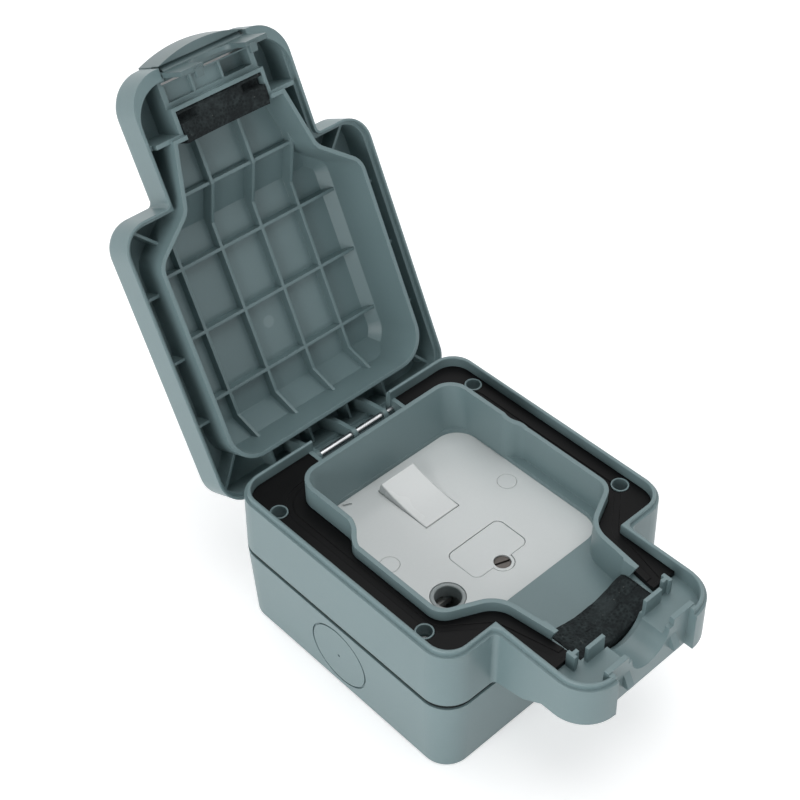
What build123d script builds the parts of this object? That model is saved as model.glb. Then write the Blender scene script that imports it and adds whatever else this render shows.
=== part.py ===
from build123d import *
import os
from math import asin, cos, degrees, radians, sin, tan

# Frame of the part: the box lies on its back, +Z points out of the wall and +Y towards the hinge.
# The origin is the centre of the square box's back face.

# Square body
box_width = 114.0
box_length = 113.0
corner_radius = 11.5
box_depth = 34.6
box_wall = 2.6
box_floor = 2.6
box_draft = 2.6
box_foot_round = 1.0
foot_relief = 0.8
foot_relief_depth = 3.0
foot_along_x = 27.0
foot_along_y = 18.0

# Seam between the back box and the front frame
seal_thickness = 2.2
seal_recess = 0.8
seal_width = 3.2

# Front frame
frame_height = 26.7
frame_wall = 3.0
frame_draft = 1.4
rim_height = 2.0
rim_step = 1.1
rim_wall = 1.4
deck_below_crest = 6.3
deck_thickness = 2.5
deck_to_face = 10.8
junction_radius = 1.8

# Cable tail of the frame
tail_half_width = 34.6
tail_reach = 98.0
tail_corner = 14.5
tail_belly_height = 7.8
tail_belly_start = 78.0
tail_belly_step = 8.0
tail_belly_drop = 2.7

# Collar round the well, given by the middle line of its wall
collar_wall = 1.8
collar_back_half = 38.6
collar_front_half = 42.9
collar_back_y = 39.3
collar_foot_y = 36.1
collar_jog_high_y = 9.0
collar_jog_low_y = 4.5
collar_shoulder_y = -37.8
neck_start_x = 23.4
neck_start_y = -47.0
neck_end_x = 20.3
neck_end_y = -70.6
collar_rise = 4.8
collar_slope_end = 11.5
collar_slope_start = 3.0
neck_slant = 0.4

# Flange on which the well meets the faceplate
flange_thickness = 2.0
flange_reach = 2.0
flange_overrun = 5.0
window_half = 38.3
window_back_y = 35.0
window_front_y = -41.5
window_corner = 10.0

# Membrane
membrane_thickness = 2.0
membrane_gap = 0.2
membrane_end_y = -78.4
membrane_groove = 0.3

# Screws that hold the frame to the box
frame_screw_inset_x = 7.6
frame_screw_inset_y = 18.7
frame_screw_length = 37.0
frame_screw_diameter = 3.5
frame_screw_head = 5.2
frame_screw_sink = 5.0
frame_screw_head_height = 2.1
frame_screw_clearance = 0.35
frame_screw_cross = 3.2
pillar_diameter = 8.8
screw_boss_diameter = 6.8
washer_diameter = 5.4
washer_thickness = 0.6
screw_slot = 0.9

# Hinge
hinge_inset = 3.3
hinge_z = 54.5
lid_open_angle = 115.2
hinge_pin_diameter = 3.0
hinge_pin_length = 43.4
hinge_clearance = 0.1
ear_positions = (-18.1, 0.0, 15.7)
ear_thickness = 1.9
ear_eye = 2.6
pocket_half = 20.2
pocket_wall = 1.8
pocket_floor_drop = 5.7
pocket_gap = 0.3
rim_notch_half = 19.7
rim_notch_drop = 5.2

# Cable way through the tail
cable_height = 60.5
cable_radius = 9.4
foam_half = 19.2
foam_start_y = -64.6
foam_end_y = -80.6
foam_top = 58.2
foam_dish = 4.0
foam_clearance = 0.25
keeper_y = -81.6
keeper_thickness = 1.5
keeper_half = 18.6
keeper_dip = 10.4
frame_dip_drop = 4.5
keeper_rise = 0.5
lug_start = 21.2
lug_end = 24.6
lug_back_y = -78.7
lug_front_y = -82.5
lug_web = 1.4
trough_half = 12.0
trough_depth_below_deck = 9.7
recess_half = 19.6
recess_y = -94.3
recess_wall = 2.0
upstand_start = 11.4
upstand_lower = 2.7
catch_x = 11.8
catch_width = 3.0
catch_reach = 2.6
catch_bottom = 50.5
catch_height = 5.8

# Lid, drawn shut
lid_wall = 2.2
lid_gap = 0.45
lip_gap = 0.25
lid_height = 16.2
lid_top_round = 4.0
lid_tail_half = 34.2
lid_tail_reach = 101.1
lid_tail_corner = 13.5
ring_wall = 1.6
ring_gap = 0.4
ring_half = 46.9
ring_back_y = 42.4
ring_shoulder_y = -39.1
ring_neck_x = 30.2
ring_neck_y = -52.1
ring_end_x = 24.4
ring_end_y = -75.9
dome_rise = 10.6
dome_slant_y = -40.0
dome_neck_y = -56.0
dome_back_slant = 7.0
dome_edge = 4.5
dome_bevel = 38.0
lid_rib_depth = 4.2
lid_rib_wall = 1.3
rib_x_inner = 9.6
rib_x_outer = 28.4
rib_rows = (-54.5, -27.7, -2.2, 23.5)
moat_rib_depth = 8.0
moat_rib_wall = 1.1
moat_rib_sink = 0.3
ear_root_inset = 8.5
ear_back_inset = 2.5
ear_front_lean = 1.0
ear_front_rise = 6.0
ear_front_step = 3.0
ear_back_lean = 0.2
ear_back_rise = 4.0
ear_sink = 0.5
moat_braces = (((40.0, -44.0), (50.0, -54.0)), ((43.0, 40.0), (53.0, 52.0)))
housing_half = 19.1
housing_wall = 1.5
housing_front_y = -85.2
cheek_end_y = -99.4
lid_foam_half = 18.7
lid_foam_end_y = -73.3
lid_foam_face = 60.4
lid_foam_wall_edge = 61.5
lid_foam_slot = 3.2
foam_slot_start = 9.5
panel_edges = (-18.9, -7.1, 5.5, 18.9)
panel_depths = (1.4, 1.4, 6.0)
panel_divider = 0.5
panel_front_y = -88.4

# Latch
latch_pivot_y = -97.6
latch_pivot_z = 64.8
latch_half = 18.7
latch_bulge = 3.2
latch_plate = 1.8
latch_inner_y = -97.4
tab_inner_y = -99.6
hook_base = 48.2
latch_bottom = 48.9
latch_top = 76.6
latch_arch_half = 9.3
latch_arch_top = 62.8
latch_barrel = 2.0
latch_barrel_half = 17.4
latch_boss = 1.5
latch_boss_gap = 0.2
latch_neck_reach = 0.8
latch_neck_low = 1.6
latch_tab_low = 2.6
latch_neck_high = 3.6
latch_pin_diameter = 1.8
hook_gap = 0.4
hook_tip_gap = 0.6
hook_lead = 0.6
lid_recess_y = -94.9

# Switched fused spur
plate_half = 43.0
plate_corner = 5.0
plate_thickness = 2.5
plate_edge_round = 0.6
plate_screw_x = 30.2
plate_screw_y = 0.3
plate_screw_diameter = 3.5
plate_screw_head = 6.6
plate_screw_head_height = 1.0
plate_screw_length = 18.0
cap_diameter = 7.4
cap_thickness = 1.0
fit_gap = 0.1
post_diameter = 9.0

# Rocker
rocker_half = 8.3
rocker_gap = 0.25
rocker_y = 17.0
rocker_below_face = 1.4
rocker_tilt = 10.3
rocker_reach = 13.0
rocker_corner_angle = 17.8
rocker_dish = 1.0
rocker_skirt = 4.4
rocker_shell = 1.7
rocker_edge_round = 0.5
rocker_well_wall = 2.4
rocker_well_depth = 3.0
trunnion_diameter = 2.0
trunnion_hub = 3.4
trunnion_length = 1.7
plunger_x = 4.6
plunger_diameter = 3.2
plunger_tip = 11.3
plunger_length = 6.0
plunger_tube = 1.0
plunger_guide = 7.5
spring_wire = 0.5
spring_turns = 4
spring_start = 0.4
blade_width = 5.0
blade_length = 18.0
blade_thickness = 0.9
blade_pivot_z = 31.0
blade_tilt = 7.2
blade_barrel = 3.4
blade_sink = 0.2
blade_pin_diameter = 1.6
blade_clearance = 0.05
contact_width = 4.4
contact_y = 25.5
contact_height = 7.1
contact_thickness = 0.9
contact_foot = 4.0
blade_pin_bite = 1.5

# Fuse carrier
carrier_x = 0.6
carrier_y = -18.5
carrier_width = 26.6
carrier_length = 15.6
carrier_corner = 3.0
carrier_gap = 0.2
carrier_depth = 14.0
carrier_edge_round = 0.4
carrier_lobe = 8.9
carrier_grip_half = 6.8
carrier_grip_length = 12.0
fuse_diameter = 6.35
fuse_length = 25.4
fuse_cap_length = 5.5
fuse_drop = 8.2
clip_gap = 0.3
clip_thickness = 0.6
clip_reach = 2.4
clip_width = 4.0
carrier_screw_place = (0.1, -26.6)
carrier_screw_sink = 1.9
carrier_screw_head = 1.4
carrier_screw_shaft = 3.0
carrier_screw_diameter = 6.3
carrier_screw_length = 11.0

# Flex outlet
outlet_x = -25.4
outlet_y = -24.7
outlet_diameter = 9.8
bush_diameter = 13.0
bush_depth = 3.0
bush_round = 0.6
clamp_y = -18.0
clamp_height = 2.5
clamp_depth = 6.9
clamp_width = 3.6
clamp_screw_diameter = 2.5
clamp_bosses = (-32.2, -19.4)
clamp_boss_diameter = 4.2
clamp_screw_bite = 5.0
clamp_screw_head = 1.4
slit_x = -21.5
slit_y = 33.0
slit_length = 3.8
slit_width = 0.8
slit_angle = -28.0

# Rear moulding of the spur
base_depth = 23.4
base_floor = 3.5
base_wall = 1.8
switch_reach = 14.7
wing_floor = 12.0
base_half = 34.0
base_back_y = 33.0
base_front_y = -34.0
base_notch_x = 24.3
base_notch_y = 7.0
base_outlet_x = -17.0
base_outlet_y = -15.5
base_screw_places = ((-13.5, -3.7), (13.5, -3.7))
base_screw_diameter = 2.9
base_screw_head = 5.4
base_screw_head_height = 1.6
base_screw_sink = 13.5
base_screw_bite = 1.6

# Terminals
terminal_width = 8.0
terminal_height = 10.0
terminal_screw_diameter = 3.5
terminal_screw_length = 7.5
wire_hole = 3.4
terminal_gap = 0.1
terminal_screw_tip = 5.0
wire_height = 7.0
terminal_places = ((27.5, 20.0, 9.0), (-27.5, 20.0, 9.0), (27.5, -14.0, 9.0), (27.5, -27.0, 9.0))
earth_place = (-19.5, -4.5, 15.0)
box_earth_inset = 12.5
box_earth_length = 9.0

# Wall fixing and knockouts
wall_hole_inset_x = 20.0
wall_hole_inset_y = 16.5
wall_hole_diameter = 5.0
wall_hole_boss = 11.0
wall_hole_boss_height = 2.0
knockout_diameter = 28.8
knockout_groove = 0.7
knockout_depth = 0.8
knockout_height = 17.3
knockout_dimple = 0.6

# Places worked out from the body's width and length
frame_screw_x = box_width / 2 - frame_screw_inset_x
frame_screw_y = box_length / 2 - frame_screw_inset_y
wall_hole_x = box_width / 2 - wall_hole_inset_x
wall_hole_y = box_length / 2 - wall_hole_inset_y
hinge_y = box_length / 2 - hinge_inset
ear_root_y = box_length / 2 - ear_root_inset
ear_back_y = box_length / 2 - ear_back_inset
box_earth_y = box_length / 2 - box_earth_inset

# Heights worked out from the sizes above
frame_base = box_depth + seal_thickness
crest_z = frame_base + frame_height
step_z = crest_z - rim_height
deck_top = crest_z - deck_below_crest
deck_base = deck_top - deck_thickness
collar_top = crest_z + collar_rise
face_z = deck_top - deck_to_face
flange_top = face_z + flange_thickness
plate_base = face_z - plate_thickness
step_inset = (step_z - frame_base) * sin(radians(frame_draft))
rim_outer = step_inset + rim_step
rim_inner = rim_outer + rim_wall
lip_inner = rim_outer - lip_gap
pocket_floor = hinge_z - pocket_floor_drop
foam_floor = face_z + foam_clearance
lid_edge = step_z + lid_gap
lid_shoulder = crest_z + lid_gap
lid_top = lid_edge + lid_height
lid_ceiling = lid_top - lid_wall
ring_edge = deck_top + membrane_thickness + ring_gap
dome_top = lid_top + dome_rise
dish_ceiling = dome_top - lid_wall
rocker_z = face_z - rocker_below_face
base_bottom = plate_base - base_depth
keeper_top = crest_z + keeper_rise
cheek_edge = lid_shoulder + lid_gap
housing_side = housing_half + housing_wall
keeper_front_y = keeper_y - keeper_thickness
lug_middle_y = (lug_back_y + lug_front_y) / 2
frame_screw_seat = deck_top - frame_screw_sink
frame_screw_tip = frame_screw_seat - frame_screw_length
plate_screw_seat = face_z - cap_thickness - plate_screw_head_height
plate_screw_tip = plate_screw_seat - plate_screw_length
seal_inset = seal_recess + seal_width
belly_z = frame_base + tail_belly_height
trough_base = deck_top - trough_depth_below_deck
foam_side = foam_half + foam_clearance + collar_wall

rocker_top = rocker_reach * sin(radians(rocker_corner_angle))
rocker_foot_angle = degrees(asin(rocker_skirt / rocker_reach))
rocker_well_half = rocker_half + rocker_gap + rocker_well_wall
rocker_well_reach = rocker_reach + rocker_gap + rocker_well_wall / 2
trunnion_bore_half = rocker_half + trunnion_length + fit_gap
switch_half = rocker_well_half + carrier_gap
spring_length = plunger_tip - plunger_length - spring_start - spring_wire / 2 - fit_gap
spring_radius = (plunger_diameter - spring_wire) / 2
carrier_screw_seat = face_z - carrier_screw_sink
fuse_z = face_z - fuse_drop
clip_radius = fuse_diameter / 2 + clip_gap
cavity_floor = base_bottom + base_floor
base_screw_seat = base_bottom + base_screw_sink
clamp_seat = plate_base - clamp_depth

# Planes of the lid: its pieces are drawn where they lie when shut, on planes swung open about the pin
swing = radians(lid_open_angle)
lid_frame = Plane(
    origin=(
        0,
        hinge_y - hinge_y * cos(swing) - hinge_z * sin(swing),
        hinge_z + hinge_y * sin(swing) - hinge_z * cos(swing),
    ),
    x_dir=(1, 0, 0),
    z_dir=(0, sin(swing), cos(swing)),
)
lid_axis = Axis(lid_frame.origin, lid_frame.z_dir)
plunger_plane = Plane(
    origin=(0, rocker_y, rocker_z),
    x_dir=(1, 0, 0), z_dir=(0, sin(radians(rocker_tilt)), -cos(radians(rocker_tilt))),
)
rocker_plane = Plane(
    origin=(0, rocker_y, rocker_z),
    x_dir=(0, cos(radians(rocker_tilt)), sin(radians(rocker_tilt))), z_dir=(1, 0, 0),
)
blade_plane = Plane(
    origin=(0, rocker_y, blade_pivot_z),
    x_dir=(0, cos(radians(blade_tilt)), -sin(radians(blade_tilt))), z_dir=(1, 0, 0),
)

os.makedirs("parts", exist_ok=True)


def keep(piece, name):
    """Label a finished piece and write it."""
    piece.part.label = name
    export_step(piece.part, f"parts/{name}.step")


def mirrored(points):
    """Right half of an outline, from its tail end to the hinge end, and then its left half."""
    return points + [(-x, y) for x, y in reversed(points)]


def closed_outline(points, radii):
    """A face from a half outline whose corners each have their own radius."""
    with BuildLine() as outline:
        path = FilletPolyline(*mirrored(points), radius=list(radii) + list(reversed(radii)))
        Line(path @ 1, path @ 0)
    make_face(outline.edges())


def body_outline(inset, tail_half, tail_end, tail_round):
    """The square body with its tail, drawn in by the inset."""
    half_x = box_width / 2 - inset
    half_y = box_length / 2 - inset
    RectangleRounded(2 * half_x, 2 * half_y, corner_radius - inset)
    with BuildLine() as tail:
        path = FilletPolyline(
            (tail_half, 0), (tail_half, -tail_end), (-tail_half, -tail_end), (-tail_half, 0),
            radius=[tail_round, tail_round],
        )
        Line(path @ 1, path @ 0)
    make_face(tail.edges())


def junctions(sketch, tail_half, half_y):
    """The two inner corners where the tail leaves the square body."""
    return sketch.vertices().filter_by(
        lambda v: abs(abs(v.X) - tail_half) < 0.05 and abs(v.Y + half_y) < 0.05
    )


def frame_outline(inset):
    """Outline of the front frame, drawn in by the inset."""
    body_outline(inset, tail_half_width - inset, tail_reach - inset, tail_corner - inset)


def lid_outline(inset):
    """Outline of the lid, drawn in by the inset from its outer face."""
    body_outline(step_inset + inset, lid_tail_half - inset, lid_tail_reach - inset, lid_tail_corner - inset)


def collar_outline(back_y, end_y, grow):
    """Bottle shape of the collar's middle line, grown or shrunk."""
    neck_slope = (neck_end_x - neck_start_x) / (neck_end_y - neck_start_y)
    end_x = neck_start_x + (end_y - neck_start_y) * neck_slope
    closed_outline(
        [
            (end_x, end_y), (neck_start_x, neck_start_y), (collar_front_half, collar_shoulder_y),
            (collar_front_half, collar_jog_low_y), (collar_back_half, collar_jog_high_y),
            (collar_back_half, back_y),
        ],
        [12.0, 7.0, 6.0, 6.0, 8.0],
    )
    offset(amount=grow, mode=Mode.REPLACE)


def ring_outline(end_y, grow):
    """Bottle shape of the lid's sealing wall, grown or shrunk."""
    neck_slope = (ring_end_x - ring_neck_x) / (ring_end_y - ring_neck_y)
    end_x = ring_neck_x + (end_y - ring_neck_y) * neck_slope
    closed_outline(
        [
            (end_x, end_y), (ring_neck_x, ring_neck_y), (ring_half, ring_shoulder_y),
            (ring_half, ring_back_y),
        ],
        [8.0, 8.0, 12.0],
    )
    offset(amount=grow, mode=Mode.REPLACE)


def shut(height):
    """Level plane of the shut lid at a height, swung open with it."""
    return lid_frame.offset(height)


def shut_side(x):
    """Upright plane of the shut lid that looks along X, with Y across and Z up."""
    return Plane(
        origin=lid_frame.from_local_coords(Vector(x, 0, 0)),
        x_dir=lid_frame.y_dir, z_dir=lid_frame.x_dir,
    )


def shut_front(y):
    """Upright plane of the shut lid that faces the tail end, with X across and Z up."""
    return Plane(
        origin=lid_frame.from_local_coords(Vector(0, y, 0)),
        x_dir=lid_frame.x_dir, z_dir=-lid_frame.y_dir,
    )


def slab(plane, low, high, amount, mode=Mode.ADD, both=False):
    """A rectangle between two corners of a plane, extruded."""
    with BuildSketch(plane) as outline:
        with Locations(((low[0] + high[0]) / 2, (low[1] + high[1]) / 2)):
            Rectangle(abs(high[0] - low[0]), abs(high[1] - low[1]))
    extrude(outline.sketch, amount=amount, both=both, mode=mode)


def rod(plane, centre, diameter, length, mode=Mode.ADD):
    """A round bar that stands on a plane."""
    with BuildSketch(plane) as outline:
        with Locations(centre):
            Circle(diameter / 2)
    extrude(outline.sketch, amount=length, mode=mode)


def dish_space(grow, rise):
    """The room inside the dome and its neck, with wider walls or a higher ceiling."""
    bevel_start = dish_ceiling + rise - dome_edge
    with BuildSketch(shut(ring_edge - 1)) as plan:
        ring_outline(ring_end_y, grow)
    extrude(plan.sketch, amount=bevel_start - ring_edge + 1)
    with BuildSketch(shut(bevel_start)) as bevel:
        ring_outline(ring_end_y, grow)
    extrude(bevel.sketch, amount=dome_edge, taper=dome_bevel)
    with BuildSketch(shut_side(0)) as profile:
        with BuildLine() as edge:
            Polyline(
                (ring_back_y + 1, ring_edge - 1), (ring_back_y + 1, lid_ceiling + rise),
                (ring_back_y, lid_ceiling + rise), (ring_back_y - dome_back_slant, dish_ceiling + rise),
                (dome_slant_y, dish_ceiling + rise), (dome_neck_y, lid_ceiling + rise),
                (ring_end_y - 1, lid_ceiling + rise), (ring_end_y - 1, ring_edge - 1), close=True,
            )
        make_face(edge.edges())
    extrude(profile.sketch, amount=box_width / 2, both=True, mode=Mode.INTERSECT)


def carrier_outline(grow):
    """Front of the fuse carrier with the lobe round its screw."""
    with Locations((carrier_x, carrier_y)):
        RectangleRounded(carrier_width + 2 * grow, carrier_length + 2 * grow, carrier_corner + grow)
    with Locations(carrier_screw_place):
        Circle(carrier_lobe / 2 + grow)


def wire_places(x, y, length):
    """Where the wires enter a terminal: one in a short block, two in a long bar."""
    if length < 1.5 * terminal_width:
        return [(x, y)]
    return [(x, y - length / 4), (x, y + length / 4)]


def terminal_block(x, y, length, foot, wire_rise):
    """A brass block with its wire holes along X and screw holes along Z."""
    slab(
        Plane.XY.offset(foot), (x - terminal_width / 2, y - length / 2),
        (x + terminal_width / 2, y + length / 2), terminal_height,
    )
    for centre in wire_places(x, y, length):
        rod(
            Plane.XY.offset(foot), centre, terminal_screw_diameter + 2 * fit_gap, terminal_height,
            mode=Mode.SUBTRACT,
        )
        rod(
            Plane.YZ.offset(x - terminal_width / 2), (centre[1], foot + wire_rise), wire_hole,
            terminal_width, mode=Mode.SUBTRACT,
        )


def slotted_screw(plane):
    """A headless terminal screw that starts at its tip, with a slot in its far end."""
    rod(plane, (0, 0), terminal_screw_diameter, terminal_screw_length)
    slab(
        plane.offset(terminal_screw_length), (-terminal_screw_diameter, -screw_slot / 2),
        (terminal_screw_diameter, screw_slot / 2), -screw_slot, mode=Mode.SUBTRACT,
    )


plate_screws = [(sx * plate_screw_x, plate_screw_y) for sx in (-1, 1)]
wall_holes = [(sx * wall_hole_x, sy * wall_hole_y) for sx in (-1, 1) for sy in (-1, 1)]
corners = [(sx * frame_screw_x, sy * frame_screw_y) for sx in (-1, 1) for sy in (-1, 1)]
sides = (-1, 1)
rib_columns = (-rib_x_outer, -rib_x_inner, rib_x_inner, rib_x_outer)

# Hollows of the spur's rear moulding: for the switch, for the fuse, and three that save material
cavities = [
    ((-switch_half, rocker_y - switch_reach), (switch_half, rocker_y + switch_reach), cavity_floor),
    (
        (
            carrier_x - carrier_width / 2 - 2 * carrier_gap,
            carrier_y - carrier_length / 2 - 2 * carrier_gap,
        ),
        (
            carrier_x + carrier_width / 2 + 2 * carrier_gap,
            carrier_y + carrier_length / 2 + 2 * carrier_gap,
        ),
        cavity_floor,
    ),
    (
        (switch_half + base_wall, base_notch_y + base_wall),
        (base_half - base_wall, base_back_y - base_wall), base_bottom + wing_floor,
    ),
    (
        (-base_half + base_wall, base_notch_y + base_wall),
        (-switch_half - base_wall, base_back_y - base_wall), base_bottom + wing_floor,
    ),
    (
        (carrier_x + carrier_width / 2 + 2 * base_wall, base_front_y + base_wall),
        (base_half - base_wall, -base_notch_y - base_wall), base_bottom + wing_floor,
    ),
]

# Front frame

with BuildPart() as front_frame:
    with BuildSketch(Plane.XY.offset(frame_base)) as foot_outline:
        frame_outline(0)
        fillet(junctions(foot_outline, tail_half_width, box_length / 2), junction_radius)
    extrude(amount=step_z - frame_base, taper=frame_draft)
    with BuildSketch(Plane.XY.offset(step_z)) as rim_outline:
        frame_outline(rim_outer)
        fillet(
            junctions(rim_outline, tail_half_width - rim_outer, box_length / 2 - rim_outer),
            junction_radius + rim_step,
        )
    extrude(amount=rim_height)
    with BuildSketch(Plane.XY.offset(deck_top)):
        frame_outline(rim_inner)
    extrude(amount=crest_z - deck_top, mode=Mode.SUBTRACT)
    with BuildSketch(Plane.XY.offset(frame_base)):
        frame_outline(frame_wall)
    extrude(amount=deck_base - frame_base, mode=Mode.SUBTRACT)
    fillet(front_frame.edges().group_by(Axis.Z)[-1], rim_wall * 0.4)

    # Sloping belly under the tail
    with BuildSketch(Plane.YZ):
        with BuildLine():
            Polyline(
                (-box_length / 2, frame_base - 1), (-box_length / 2, frame_base),
                (-tail_belly_start + tail_belly_step, frame_base + tail_belly_drop),
                (-tail_belly_start, belly_z),
                (-tail_reach - 1, belly_z), (-tail_reach - 1, frame_base - 1), close=True,
            )
        make_face()
    extrude(amount=tail_half_width + 1, both=True, mode=Mode.SUBTRACT)

    # Posts for the four screws
    with BuildSketch(Plane.XY.offset(frame_base)):
        with Locations(*corners):
            Circle(pillar_diameter / 2)
    extrude(amount=deck_base - frame_base)
    with BuildSketch(Plane.XY.offset(deck_base)):
        with Locations(*corners):
            Circle(screw_boss_diameter / 2)
    extrude(amount=deck_top + membrane_thickness + fit_gap - deck_base)

    # Collar and the flange that lies on the faceplate
    with BuildSketch(Plane.XY.offset(face_z)):
        collar_outline(collar_back_y, keeper_y, collar_wall / 2)
    extrude(amount=collar_top - face_z)
    with BuildSketch(Plane.XY.offset(face_z)):
        with Locations((0, (collar_back_y + collar_shoulder_y) / 2)):
            RectangleRounded(
                2 * (collar_front_half + flange_reach), collar_back_y - collar_shoulder_y + flange_overrun,
                corner_radius,
            )
    extrude(amount=flange_thickness)

    # Wall that shuts the box off from the hollow tail
    slab(
        Plane.XY.offset(frame_base), (-tail_half_width, -box_length / 2),
        (tail_half_width, frame_wall - box_length / 2), deck_top - frame_base,
    )

    # Blocks under the tail's deck for the foam and the cable trough
    slab(
        Plane.XY.offset(belly_z), (-foam_side, keeper_front_y),
        (foam_side, foam_start_y + collar_wall), deck_top - belly_z,
    )
    slab(
        Plane.XY.offset(trough_base), (-trough_half, recess_y), (trough_half, keeper_front_y),
        deck_top - trough_base,
    )

    # Hinge pocket, with its floor and side walls
    slab(
        Plane.XY.offset(pocket_floor - flange_thickness),
        (-pocket_half - pocket_wall, collar_back_y),
        (pocket_half + pocket_wall, box_length / 2 - frame_wall + 1),
        deck_top + membrane_thickness - pocket_floor + flange_thickness,
    )
    slab(
        Plane.XY.offset(pocket_floor),
        (-pocket_half, collar_back_y + collar_wall / 2 + pocket_gap),
        (pocket_half, box_length / 2 - rim_inner),
        crest_z - pocket_floor + 1, mode=Mode.SUBTRACT,
    )
    slab(
        Plane.XY.offset(hinge_z - rim_notch_drop),
        (-rim_notch_half, hinge_y), (rim_notch_half, box_length / 2 + 1),
        crest_z - hinge_z + rim_notch_drop + 1, mode=Mode.SUBTRACT,
    )
    rod(
        Plane.YZ.offset(-hinge_pin_length / 2), (hinge_y, hinge_z), hinge_pin_diameter,
        hinge_pin_length, mode=Mode.SUBTRACT,
    )

    # Well and neck
    with BuildSketch(Plane.XY.offset(flange_top)):
        collar_outline(collar_foot_y, foam_start_y - collar_wall / 2, -collar_wall / 2)
    with BuildSketch(Plane.XY.offset(collar_top)):
        collar_outline(collar_back_y, foam_start_y - collar_wall / 2, -collar_wall / 2)
    loft(ruled=True, mode=Mode.SUBTRACT)
    with BuildSketch(Plane.XY.offset(face_z)):
        with Locations((0, (window_back_y + window_front_y) / 2)):
            RectangleRounded(2 * window_half, window_back_y - window_front_y, window_corner)
    extrude(amount=flange_thickness, mode=Mode.SUBTRACT)

    # Top edge of the collar: high at the hinge, level with the rim at the tail
    with BuildSketch(Plane.YZ):
        with BuildLine():
            Polyline(
                (collar_slope_end, collar_top + 1), (collar_slope_end, collar_top),
                (collar_slope_start, crest_z), (-tail_reach, crest_z),
                (-tail_reach, collar_top + 1), close=True,
            )
        make_face()
    extrude(amount=box_width / 2, both=True, mode=Mode.SUBTRACT)

    # Slanted end of the collar's neck, in front of the foam
    with BuildSketch(Plane.YZ):
        with BuildLine():
            Polyline(
                (neck_end_y, crest_z), (neck_end_y + (crest_z - deck_top) * neck_slant, deck_top),
                (keeper_front_y, deck_top), (keeper_front_y, crest_z), close=True,
            )
        make_face()
    extrude(amount=lug_end, both=True, mode=Mode.SUBTRACT)

    # Foam pocket
    slab(
        Plane.XY.offset(face_z), (-foam_half - foam_clearance, foam_end_y - foam_clearance),
        (foam_half + foam_clearance, foam_start_y), crest_z - face_z, mode=Mode.SUBTRACT,
    )

    # Keeper plates with a dip for the cable
    slab(
        Plane.XY.offset(belly_z), (-keeper_half, keeper_front_y), (keeper_half, keeper_y),
        keeper_top - belly_z,
    )
    with BuildSketch(Plane.XZ.offset(-foam_end_y)):
        with Locations((0, keeper_top - frame_dip_drop)):
            Circle(keeper_dip)
            Rectangle(2 * keeper_dip, 2 * frame_dip_drop, align=(Align.CENTER, Align.MIN))
    extrude(amount=foam_end_y - keeper_front_y, mode=Mode.SUBTRACT)

    # T-shaped lugs on the deck beside the foam
    for side in sides:
        slab(
            Plane.XY.offset(deck_base), (side * lug_start, lug_middle_y - lug_web / 2),
            (side * lug_end, lug_middle_y + lug_web / 2), keeper_top - deck_base,
        )
        slab(
            Plane.XY.offset(deck_base), (side * (lug_end - lug_web), lug_front_y),
            (side * lug_end, lug_back_y), keeper_top - deck_base,
        )

    # Recess in the tail's end for the latch
    slab(
        Plane.XY.offset(frame_base), (-recess_half, -tail_reach - 1), (recess_half, recess_y),
        crest_z - frame_base + 1, mode=Mode.SUBTRACT,
    )
    slab(
        Plane.XY.offset(belly_z), (-recess_half - recess_wall, recess_y),
        (recess_half + recess_wall, recess_y + recess_wall), crest_z - upstand_lower - belly_z,
    )
    for side in sides:
        slab(
            Plane.XY.offset(belly_z), (side * recess_half, frame_wall - tail_reach - 1),
            (side * (recess_half + recess_wall), recess_y + recess_wall), crest_z - belly_z,
        )
        slab(
            Plane.XY.offset(deck_base), (side * upstand_start, recess_y),
            (side * (recess_half + recess_wall), recess_y + recess_wall), keeper_top - deck_base,
        )
        with BuildSketch(Plane.YZ.offset(side * catch_x)):
            with BuildLine():
                Polyline(
                    (recess_y + recess_wall / 2, catch_bottom), (recess_y - catch_reach, catch_bottom),
                    (recess_y - catch_reach, catch_bottom + 1), (recess_y, catch_bottom + catch_height),
                    (recess_y + recess_wall / 2, catch_bottom + catch_height), close=True,
                )
            make_face()
        extrude(amount=catch_width / 2, both=True)

    # Half-round trough for the cable
    with BuildSketch(Plane.XZ.offset(-keeper_front_y)):
        with Locations((0, cable_height)):
            Circle(cable_radius)
    extrude(amount=keeper_front_y - recess_y + 1, mode=Mode.SUBTRACT)

    # Screw holes with deep seats for the washers and heads
    for centre in corners:
        rod(
            Plane.XY.offset(frame_screw_seat - washer_thickness), centre, washer_diameter + 2 * fit_gap,
            crest_z - frame_screw_seat, mode=Mode.SUBTRACT,
        )
        rod(
            Plane.XY.offset(frame_base), centre, frame_screw_diameter + 2 * frame_screw_clearance,
            crest_z - frame_base, mode=Mode.SUBTRACT,
        )

keep(front_frame, "front_frame")

# Back box

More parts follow.
